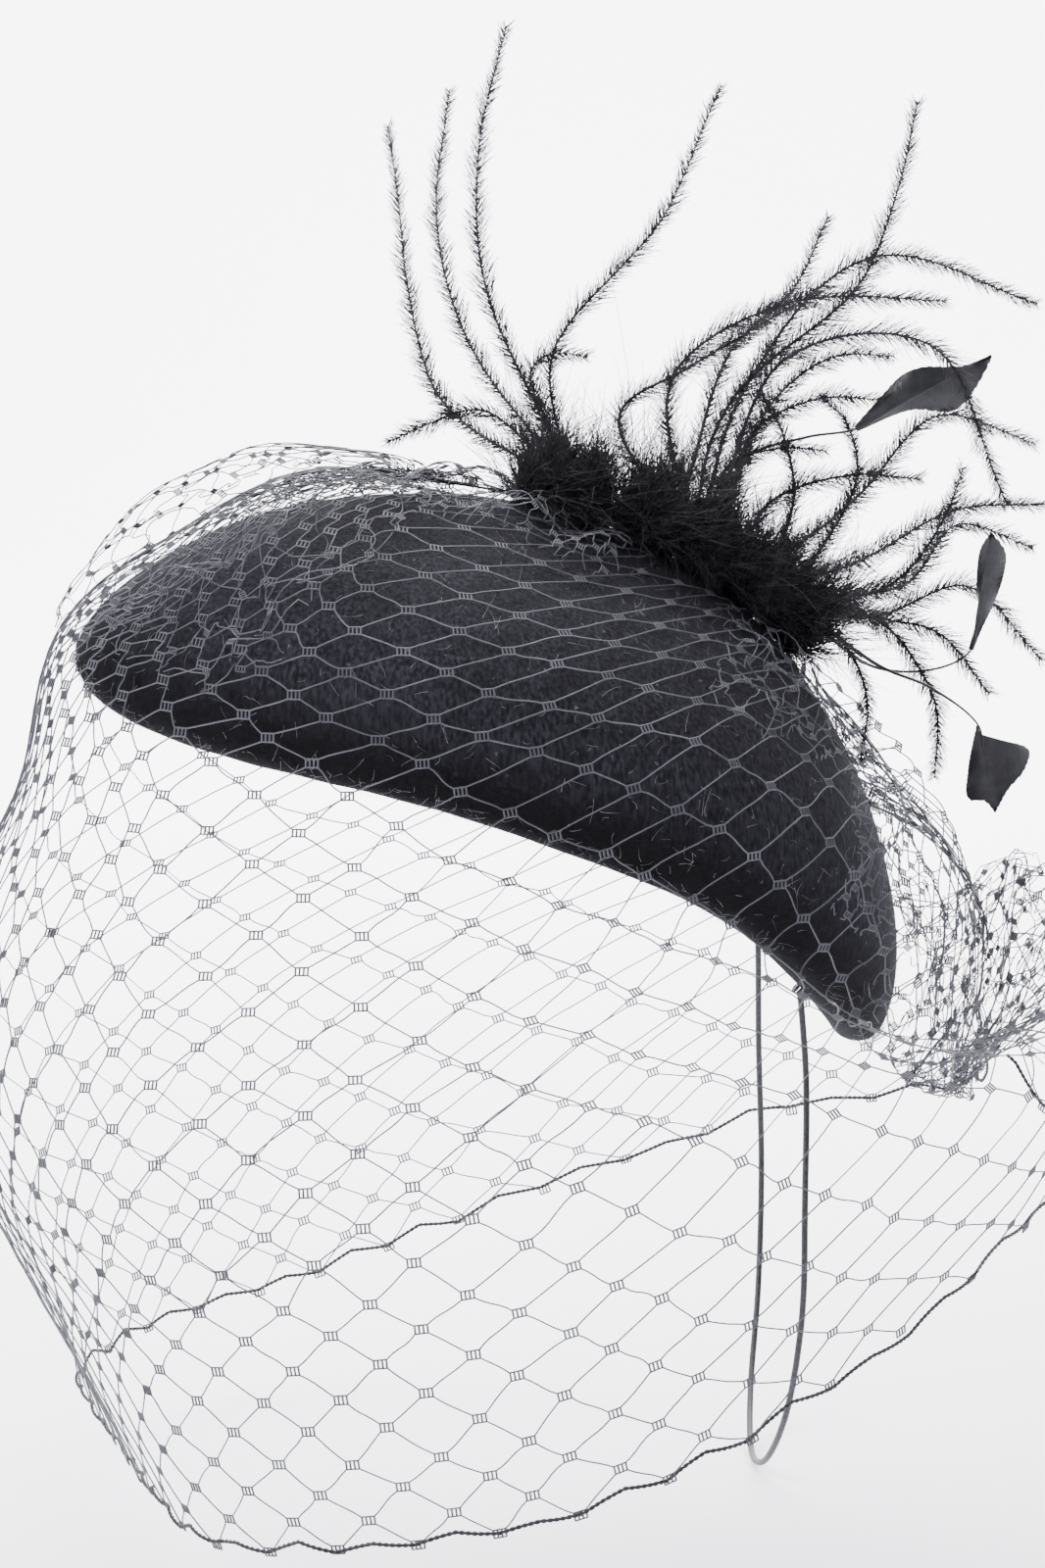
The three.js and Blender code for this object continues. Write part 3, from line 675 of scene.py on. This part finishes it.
def veil_out(turn, way):
    """The direction straight out of the veil's surface."""
    way = np.clip(way, 0.01, 0.99)
    around = on_veil(turn + 0.004, way) - on_veil(turn - 0.004, way)
    below = on_veil(turn, way + 0.01) - on_veil(turn, way - 0.01)
    return unit(np.cross(around, below))


def net_place(column, row):
    """The turn and way of a knot: its height is measured along the veil from the hem."""
    height = np.interp(row, net_rows, net_heights) + np.minimum(row, 0) * row_past_hem
    turn = net_turn(column, 0.7)
    for _ in range(3):
        way = 1 - height / veil_length(turn)
        turn = net_turn(column, way)
    return turn, way


def on_net(column, row):
    """A point of the even net: it lies close to the felt, and sways a little where it hangs free."""
    turn, way = net_place(column, row)
    points = on_veil(turn, way)
    resting = np.clip((resting_way - way) / 0.1, 0, 1)[..., None]
    sway = ripple(points, sway_length, 5)[..., :1] * (1 - resting) * net_sway - resting * net_sway
    return points + veil_out(turn, way) * sway


def net_parts(place, knots, inner, seed, wrap=None, radius=0.165, jitter=0.05, bow=0.018, size=1.0):
    """Net yarn: a strand from each knot down to both knots below it, and a small ladder at each inner knot.

    Place gives a point by column and row, and wrap is the number of columns of a net that closes on itself.
    """
    random = np.random.default_rng(seed)
    number = {spot: k for k, spot in enumerate(knots)}
    whole = np.array(knots, float)
    shift = random.normal(0, jitter, whole.shape)
    column, row = (whole + shift).T
    centre = place(column, row)
    around = (place(column + 0.05, row) - place(column - 0.05, row)) / 0.1
    below = (place(column, row - 0.05) - place(column, row + 0.05)) / 0.1
    half_width = np.minimum(ladder_width * size / np.maximum(np.linalg.norm(around, axis=1), 1), 0.4)
    half_height = np.minimum(ladder_height * size / np.maximum(np.linalg.norm(below, axis=1), 1), 0.4)
    around = unit(around)
    below = unit(below - around * np.sum(below * around, axis=1, keepdims=True))

    starts, ends, sides = [], [], []
    for (i, j), k in number.items():
        for side in (-1, 1):
            spot = ((i + side) % wrap if wrap else i + side, j - 1)
            if spot in number:
                starts.append(k)
                ends.append(number[spot])
                sides.append(side)
    starts, ends, sides = np.array(starts), np.array(ends), np.array(sides)
    share = np.linspace(0, 1, strand_steps)
    start_column = column[starts] + sides * half_width[starts]
    end_column = whole[starts, 0] + sides + shift[ends, 0] - sides * half_width[ends]
    start_row = row[starts] - half_height[starts]
    end_row = row[ends] + half_height[ends]
    slack = random.normal(0, bow, len(starts))[:, None] * np.sin(math.pi * share)
    wander = random.normal(0, bow, len(starts))[:, None] * np.sin(2 * math.pi * share)
    columns = start_column[:, None] * (1 - share) + end_column[:, None] * share + slack
    rows = start_row[:, None] * (1 - share) + end_row[:, None] * share + wander
    strands = place(columns, rows)

    # The strands are moved so that each runs from one ladder's corner to the next one's.
    width, height = around * ladder_width, below * ladder_height
    first = centre[starts] + (width[starts] * sides[:, None] + height[starts]) * size
    last = centre[ends] - (width[ends] * sides[:, None] + height[ends]) * size
    share = share[:, None]
    strands += (first - strands[:, 0])[:, None] * (1 - share) + (last - strands[:, -1])[:, None] * share

    corner = lambda x, y: (centre + width * size * x + height * size * y)[inner]
    rails = [np.stack([corner(-1, y), corner(1, y)], 1) for y in (-1, 1)]
    bars = [np.stack([corner(x, -1), corner(x, 1)], 1) for x in ladder_bars]
    return [
        tubes(strands, radius),
        tubes(np.concatenate(rails), radius * 1.05),
        tubes(np.concatenate(bars), radius * 1.25),
    ]


def make_veil():
    """The even net. The strands above its top knots end at the slit."""
    spots = [(i, j) for i in range(net_columns) for j in range(net_row_count) if (i + j) % 2 == 0]
    knots = [(i, j) for i, j in spots if net_place(i, j - 1)[1] > slit_way]
    inner = [k for k, spot in enumerate(knots) if net_place(*spot)[1] > slit_way]
    parts = net_parts(on_net, knots, inner, 21, wrap=net_columns)
    piece("veil_netting", parts, netting, "veil_net")


# Net that is gathered into folds: patches of turns and ways with more yarn in them than the surface needs.
# Lift is how far a patch stands off, crush how far its folds wander, and fold how long they are.
gather_columns = ("turns", "ways", "columns", "rows", "lift", "crush", "fold", "seed")
net_gathers = [
    ((0.385, 0.485), (0.05, 0.345), 10, 13, 2.5, 4.5, 24, 31),
    ((0.45, 0.61), (0.03, 0.34), 11, 14, 8.0, 2.4, 34, 32),
    ((0.118, 0.16), (0.01, 0.42), 9, 24, 1.5, 2.4, 20, 33),
    ((0.15, 0.235), (0.01, 0.24), 11, 11, 0.8, 2.0, 18, 39),
    ((0.29, 0.45), (0.0, 0.11), 22, 8, 3.5, 4.0, 16, 34),
    ((0.02, 0.13), (0.4, 0.92), 20, 16, 2.0, 7.0, 30, 35),
    ((-0.06, 0.08), (0.35, 0.9), 18, 16, 3.0, 6.0, 28, 36),
    ((0.62, 0.74), (0.04, 0.26), 12, 10, 3.0, 3.5, 26, 37),
]


def gathered_parts(gather):
    """One patch of gathered net, with its border pressed to the surface."""
    (first, last), (top, bottom) = gather["turns"], gather["ways"]
    columns, rows = gather["columns"], gather["rows"]

    def place(column, row):
        turn = first + (last - first) * column / columns
        way = top + (bottom - top) * (1 - row / rows)
        points = on_veil(turn, way)
        inside = [np.sin(math.pi * np.clip(share, 0, 1)) for share in (column / columns, row / rows)]
        loose = (0.15 + 0.85 * (inside[0] * inside[1]) ** 0.6)[..., None]
        folds = ripple(points * (1, 1, 1.3), gather["fold"], gather["seed"]) * gather["crush"]
        out = veil_out(turn, way)
        inward = np.minimum(np.sum(folds * out, -1, keepdims=True) + gather["lift"], 0)
        return points + (folds + out * (gather["lift"] - inward)) * loose

    spots = [(i, j) for i in range(columns + 1) for j in range(rows + 1) if (i + j) % 2 == 0]
    knots = [(i, j) for i, j in spots if not (i in (0, columns) and j in (0, rows))]
    inner = [k for k, (i, j) in enumerate(knots) if i not in (0, columns) and j not in (0, rows)]
    return net_parts(place, knots, inner, gather["seed"], radius=0.135, jitter=0.2, bow=0.24, size=0.7)


def make_gathers():
    gathers = [dict(zip(gather_columns, row)) for row in net_gathers]
    parts = [part for gather in gathers for part in gathered_parts(gather)]
    piece("veil_gathers", parts, netting)


hem_steps = 3600
ply_radius = 0.26
ply_offset = 0.22
ply_pitch = 2.6


def make_hem_thread():
    """Two twisted plies that go in and out of the gaps along the hem."""
    column = np.linspace(0.7, net_columns - 0.7, hem_steps)
    turn = net_turn(column, 1)
    corners = np.arange(net_columns + 1)
    random = np.random.default_rng(51)
    drops = 1.4 + np.where(corners % 2, -0.9, 1.1) + random.normal(0, 0.4, len(corners))
    zigzag = np.interp(column, corners, drops)
    route = on_veil(turn, 1 + zigzag / veil_length(turn))
    route += veil_out(turn, 1) * (0.4 * np.sin(column * math.pi))[:, None]
    tangent = unit(np.gradient(route, axis=0))
    side = unit(np.cross(tangent, (0, 0, 1.0)))
    up = np.cross(tangent, side)
    distance = np.concatenate([[0], np.cumsum(np.linalg.norm(np.diff(route, axis=0), axis=1))])
    plies = []
    for ply in (0, math.pi):
        angle = distance / ply_pitch * 2 * math.pi + ply
        plies.append(route + ply_offset * (side * np.cos(angle)[:, None] + up * np.sin(angle)[:, None]))
    piece("hem_cord", [tubes(plies, ply_radius)], thread, "hem_thread")


# Plumes: the CAD part's tufts and fronds and one short frond more, dressed with down and barbs.
# A frond is its place along the tuft, three points in shares of plume_reach and its barbs' length.
front_fronds = [
    (0.5, (-0.32, 0.27, 0.67), (-0.34, 0.23, 1.01), (-0.28, 0.17, 1.27), 6),
    (0.3, (-0.37, 0.45, 0.56), (-0.44, 0.57, 0.84), (-0.41, 0.67, 1.17), 6),
    (0.2, (-0.44, 0.49, 0.45), (-0.52, 0.63, 0.72), (-0.56, 0.75, 1.09), 6),
    (0.5, (-0.18, 0.38, 0.55), (0.09, 0.47, 0.87), (0.21, 0.51, 1.17), 6),
    (0.6, (-0.23, 0.35, 0.51), (-0.18, 0.39, 0.55), (-0.1, 0.41, 0.54), 7),
    (0.1, (-0.33, 0.34, 0.42), (-0.45, 0.28, 0.4), (-0.55, 0.2, 0.36), 6),
]
back_fronds = [
    (0, (-0.03, 0.38, 0.41), (0.13, 0.42, 0.52), (0.43, 0.46, 0.7), 6),
    (0.15, (0.1, 0.35, 0.5), (0.34, 0.33, 0.66), (0.71, 0.27, 0.67), 7),
    (0.2, (0.23, 0.43, 0.45), (0.56, 0.53, 0.75), (0.67, 0.61, 1.13), 7),
    (0.25, (0.27, 0.55, 0.48), (0.57, 0.71, 0.77), (1.0, 0.85, 0.68), 7),
    (0.1, (0.24, 0.59, 0.56), (0.4, 0.77, 0.71), (0.5, 0.89, 0.88), 7),
    (0.3, (0.35, 0.39, 0.53), (0.67, 0.29, 0.57), (0.84, 0.19, 0.21), 7),
    (0.35, (0.34, 0.61, 0.45), (0.49, 0.69, 0.55), (0.64, 0.75, 0.55), 7),
    (0.4, (0.29, 0.49, 0.37), (0.44, 0.49, 0.45), (0.59, 0.47, 0.45), 7),
    (0.4, (0.22, 0.45, 0.3), (0.34, 0.41, 0.34), (0.44, 0.37, 0.33), 7),
    (0.55, (0.33, 0.45, 0.21), (0.51, 0.43, 0.27), (0.67, 0.39, 0.27), 7),
    (0.9, (0.53, 0.55, 0.26), (0.5, 0.51, 0.39), (0.43, 0.45, 0.46), 5),
    (0.75, (0.38, 0.45, 0.22), (0.35, 0.37, 0.36), (0.29, 0.31, 0.46), 5),
    (0.7, (0.56, 0.71, 0.23), (0.75, 0.81, 0.4), (0.99, 0.89, 0.33), 7),
    (0.9, (0.6, 0.51, 0.01), (0.71, 0.41, 0.16), (0.75, 0.31, 0.29), 7),
    (0.95, (0.68, 0.69, 0.02), (0.8, 0.77, 0.15), (0.99, 0.83, 0.09), 7),
    (0.85, (0.62, 0.75, 0.09), (0.82, 0.91, 0.18), (1.04, 1.03, 0.2), 7),
    (0.9, (0.61, 0.75, -0.07), (0.82, 0.83, 0), (1.02, 0.89, -0.19), 7),
    (1, (0.61, 0.55, -0.08), (0.71, 0.45, -0.24), (0.7, 0.37, -0.42), 7),
    (0.97, (0.61, 0.65, -0.07), (0.73, 0.59, -0.1), (0.84, 0.51, -0.24), 7),
    (1, (0.52, 0.53, -0.15), (0.55, 0.45, -0.26), (0.53, 0.37, -0.38), 5),
]
front_tuft = {"from": -16, "to": -11, "radius": 8, "rings": 5}
back_tuft = {"from": 7.5, "to": 42, "radius": 8.5, "rings": 9}


stem_steps = 60
bare_stem = 0.08
barb_spread = 0.55
barb_pitch = 0.22
barb_radius = 0.12
barb_steps = 3
fronds_a_piece = 10
tuft_sides = 40
tuft_rings = 30
tuft_hair_radius = 0.14


def at_reach(points):
    """Points in millimetres from shares of plume_reach."""
    return [np.array(point) * plume_reach for point in points]


def tuft_middle(tuft, share):
    along = tuft["from"] + (tuft["to"] - tuft["from"]) * share
    return over_plan(along, slit_across(along), seat_gap + tuft["radius"])


def tuft_surface(tuft, share, angle, swell=0.0):
    """The tuft's lumpy roll: share runs along it and angle round it."""
    reach = tuft["to"] - tuft["from"] + 2 * tuft["radius"]
    along = tuft["from"] - tuft["radius"] + reach * share
    past = np.maximum(np.maximum(tuft["from"] - along, along - tuft["to"]), 0) / tuft["radius"]
    lumps = 1 + 0.12 * np.sin(share * tuft["rings"] * 2.4)
    radius = tuft["radius"] * np.sqrt(np.maximum(1 - past**2, 0)) * lumps + swell
    across = slit_across(along) + radius * np.cos(angle)
    return over_plan(along, across, 1.5 * seat_gap + radius * (1 + np.sin(angle)))


def tuft_parts(tuft, hairs, seed):
    """A lumpy body, a little inside the CAD part's, under dense short hairs."""
    random = np.random.default_rng(seed)
    shares = np.linspace(0.012, 0.988, tuft_rings)
    angles = np.arange(tuft_sides) / tuft_sides * 2 * math.pi
    share, angle = np.meshgrid(shares, angles, indexing="ij")
    form = tuft_surface(tuft, share, angle, -1.8 + 1.6 * np.clip(-np.sin(angle), 0, 1))
    form = form + ripple(form, 9, seed) * 1.1
    caps = [np.repeat(form[k].mean(0)[None], tuft_sides, 0) for k in (0, -1)]
    rings = np.concatenate([caps[0][None], form, caps[1][None]])
    body = (rings.reshape(-1, 3), grid_quads(len(rings), tuft_sides, True))

    share = 0.02 + 0.96 * random.beta(0.75, 0.75, hairs)
    angle = random.uniform(-0.55 * math.pi, 1.3 * math.pi, hairs)
    start = tuft_surface(tuft, share, angle, -2.0)
    out = unit(tuft_surface(tuft, share, angle, 2.0) - start + random.normal(0, 0.9, start.shape))
    lean = unit(random.normal(size=start.shape))
    length = (random.gamma(2.4, 1.7, hairs) + 2) * (1 + 0.7 * np.abs(2 * share - 1) ** 3)
    return [body, hair_tubes(start, unit(out + 0.5 * lean), out, length, 0.75, tuft_hair_radius, random)]


def frond_parts(tuft, frond, stem_radius, seed):
    """A thin stem with fine curved barbs on both sides."""
    random = np.random.default_rng(seed)
    root, *points, width = frond
    curve = Spline([tuft_middle(tuft, root), *at_reach(points)])
    stem = curve.at(np.linspace(0, 1, stem_steps))
    stem = stem + ripple(stem, 60, seed) * 0.6
    stem_parts = tubes([stem], np.linspace(1, 0.25, stem_steps) * stem_radius, 5)

    count = 2 * int(curve.length / barb_pitch)
    order = (np.arange(count) + random.uniform(-1.5, 1.5, count)).clip(0)
    share = bare_stem + (1 - bare_stem) * order / (count + 2)
    place = share * (stem_steps - 1)
    step = np.minimum(place.astype(int), stem_steps - 2)
    part = (place - step)[:, None]
    start = stem[step] * (1 - part) + stem[step + 1] * part
    along = unit(stem[step + 1] - stem[step])
    side = unit(np.cross(along, (0, 1.0, 0)))
    spread = random.normal(0, barb_spread, count)[:, None]
    turn = np.where(np.arange(count) % 2, -1, 1)[:, None]
    out = turn * side * np.cos(spread) + np.cross(along, side) * np.sin(spread)
    bunch = 0.86 + 0.2 * np.sin(share * curve.length / 2.3 + random.uniform(0, 6) + turn[:, 0])
    profile = 0.4 + 0.6 * np.sin(math.pi * np.minimum(0.15 + share * 0.8, 1))
    length = width * 0.8 * profile * bunch * random.uniform(0.6, 1.1, count)
    steps = np.linspace(0, 1, barb_steps)[None, :, None]
    heading = unit(out * 0.8 + along * random.normal(0.75, 0.16, count)[:, None])
    curl = unit(random.normal(size=start.shape)) * 0.16 + along * 0.22
    course = heading[:, None] * steps + curl[:, None] * steps**2
    paths = start[:, None] + course * length[:, None, None]
    return [stem_parts, tubes(paths, barb_radius * np.linspace(1, 0.4, barb_steps), 3)]


def make_plume(name, node, tuft, fronds, stem_radius, hairs, seed):
    piece(f"{name}_tuft", tuft_parts(tuft, hairs, seed), down, node)
    for first in range(0, len(fronds), fronds_a_piece):
        parts = []
        for number, frond in enumerate(fronds[first:first + fronds_a_piece], first):
            parts += frond_parts(tuft, frond, stem_radius, seed + 1 + number)
        piece(f"{name}_fronds_{first // fronds_a_piece + 1}", parts, down, node)


# Arrow feathers: stripped quills with small trimmed flags. Under and over are the flag's two cut edges,
# along its spine and beside it in shares of its length.
arrow_feathers = [
    {
        "route": (0.45, (0.27, 0.55, 0.31), (0.41, 0.51, 0.36), (0.52, 0.45, 0.38)),
        "flag_tip": (0.83, 0.45, 0.55),
        "under": [(0, -0.02), (0.38, -0.07), (0.64, -0.21), (0.95, -0.05), (1, 0)],
        "over": [(0, 0.02), (0.21, 0.09), (0.44, 0.16), (0.58, 0.14), (0.79, 0.03), (1, 0)],
        "curl": 0.5,
    },
    {
        "route": (0.9, (0.6, 0.7, -0.19), (0.73, 0.66, -0.19), (0.81, 0.6, -0.14)),
        "flag_tip": (0.85, 0.58, 0.14),
        "under": [(0, -0.02), (0.16, -0.06), (0.38, -0.13), (0.62, -0.18), (0.84, -0.16), (1, 0)],
        "over": [(0, 0.02), (0.33, -0.01), (0.55, 0.04), (0.85, 0.06), (1, 0)],
        "curl": 0.8,
    },
    {
        "route": (0.95, (0.57, 0.39, -0.16), (0.69, 0.33, -0.21), (0.79, 0.28, -0.29)),
        "flag_tip": (0.83, 0.28, -0.49),
        "under": [(0, -0.03), (0.3, 0.15), (0.32, 0.4), (0.45, 0.56), (0.62, 0.45), (0.78, 0.2), (1, 0)],
        "over": [(0, -0.02), (0.2, -0.1), (0.5, -0.2), (0.8, -0.25), (0.86, -0.08), (1, 0)],
        "curl": 0.6,
    },
]


quill_steps = 70
vane_stations = 90
vane_columns = 8
vane_ridge = 0.12
vane_half_thickness = 0.12


def vane_rows(edge, base, axes, size, curl):
    """One side of a flag: barbs that lean forward from the spine out to its cut edge."""
    along, beside, normal = axes
    stations = np.linspace(0, 1, vane_stations)
    edge_along, edge_beside = Spline(np.array(edge, float)).at(np.linspace(0, 1, 200)).T
    edge_along = np.maximum.accumulate(edge_along)
    reach = np.interp(stations, edge_along, edge_beside)
    outward = np.linspace(0, 1, vane_columns)[None, :]
    root = np.maximum(stations - 0.55 * np.abs(reach), 0)[:, None]
    forward = root + (stations[:, None] - root) * outward
    sideways = -reach[:, None] * outward
    ridge = vane_ridge * (np.arange(vane_stations) % 2)[:, None] * outward
    ragged = (np.sin(stations * 71) * np.sin(stations * 193) * 0.012)[:, None] * outward**3
    cup, twist = 2.2 * curl * sideways**2, 0.5 * curl * (forward - 0.4) * sideways
    lift = size * (cup + twist + 0.05 * np.sin(forward * 4) * outward) + ridge
    return (
        base
        + along * ((forward + ragged) * size)[..., None]
        + beside * (sideways * size)[..., None]
        + normal * lift[..., None]
    )


def make_arrow_feather(row, number):
    root, *route = row["route"]
    *points, end = [tuft_middle(back_tuft, root), *at_reach([*route, row["flag_tip"]])]
    base = points[-1]
    size = float(np.linalg.norm(end - base))
    along = (end - base) / size
    beside = unit(np.cross(along, (0, -1.0, 0)))
    normal = np.cross(along, beside)
    quill = Spline([*points, base + 0.3 * (end - base), base + 0.65 * (end - base), end])
    spine = quill.at(np.linspace(0.02, 1, quill_steps))
    parts = [tubes([spine], np.linspace(0.55, 0.12, quill_steps), 8)]
    for edge in (row["under"], row["over"]):
        sheet = vane_rows(edge, base, (along, beside, normal), size, row["curl"])
        for side in (-vane_half_thickness, vane_half_thickness):
            face = (sheet + normal * side).reshape(-1, 3)
            parts.append((face, grid_quads(vane_stations, vane_columns, False)))
    piece(f"trimmed_feather_{number}", parts, vane, f"arrow_feather_{number}")


# Studio, in metres and watts

floor_gap = 0.0005
floor_front = -4
floor_back = 2.1
sweep_bend = 0.9
sweep_top = 4.9
sweep_half_width = 6
sweep_color = (0.9, 0.898, 0.935)
sweep_mottle = 0.985

# Where each light stands, where it aims, its size, power and colour.
lights = {
    "key": ((-1.5, -0.7, 1.0), (0, 0, 0), (1.0, 0.9), 92, (0.97, 0.975, 1)),
    "fill": ((1.2, -1.1, 0.6), (0, 0, -0.05), (1.2, 1.2), 4, (1, 0.96, 0.9)),
    "back": ((0.1, 0.75, 1.6), (0, 1.6, 0.4), (2.6, 1.2), 143, (0.985, 0.985, 1)),
    "backdrop": ((0.1, 1.875, 2.5), (0, 3.15, 0.7), (3.9, 1.8), 465, (0.985, 0.985, 1)),
}
world_color = (0.95, 0.96, 1, 1)
world_strength = 0.66


def stage_material(name, color):
    made, shader = new_material(name, 0.9)
    darker = tuple(value * sweep_mottle for value in color)
    tone = ramp_node(made, noise_node(made, 3, 2), [(0.3, color), (0.7, darker)])
    made.node_tree.links.new(tone, shader.inputs["Base Color"])
    return made


def make_sweep():
    """A pale floor under the lowest point that curves up into a backdrop."""
    floor = cad_box[0][2] - floor_gap
    profile = [(floor_front, floor), (floor_back, floor)]
    for angle in np.radians(np.arange(10, 91, 10)):
        rise = sweep_bend * (1 - math.cos(angle))
        profile.append((floor_back + sweep_bend * math.sin(angle), floor + rise))
    profile.append((floor_back + sweep_bend, sweep_top))
    points = [(x, y, z) for y, z in profile for x in (-sweep_half_width, sweep_half_width)]
    faces = [(2 * k, 2 * k + 1, 2 * k + 3, 2 * k + 2) for k in range(len(profile) - 1)]
    mesh = bpy.data.meshes.new("sweep")
    mesh.from_pydata(points, [], faces)
    mesh.shade_smooth()
    mesh.materials.append(stage_material("pale_sweep", sweep_color))
    sweep = bpy.data.objects.new("sweep", mesh)
    bpy.context.scene.collection.objects.link(sweep)


def area_light(name, place, target, size, power, color):
    data = bpy.data.lights.new(name, "AREA")
    data.shape = "RECTANGLE"
    data.size, data.size_y = size
    data.energy = power
    data.color = color
    light = bpy.data.objects.new(name, data)
    light.location = place
    light.rotation_euler = (Vector(target) - Vector(place)).to_track_quat("-Z", "Y").to_euler()
    bpy.context.scene.collection.objects.link(light)


def make_lights():
    for name, row in lights.items():
        area_light(name, *row)
    world = bpy.data.worlds.new("studio")
    world.use_nodes = True
    background = world.node_tree.nodes["Background"]
    background.inputs["Color"].default_value = world_color
    background.inputs["Strength"].default_value = world_strength
    bpy.context.scene.world = world


make_camera()
make_elastic()
make_stitches()
make_crown()
make_fuzz()
make_veil()
make_gathers()
make_hem_thread()
make_plume("front_plume", "plume_front", front_tuft, front_fronds, stem_radius=0.36, hairs=2800, seed=100)
make_plume("back_plume", "plume_back", back_tuft, back_fronds, stem_radius=0.52, hairs=6100, seed=200)
for number, row in enumerate(arrow_feathers, 1):
    make_arrow_feather(row, number)
make_sweep()
make_lights()
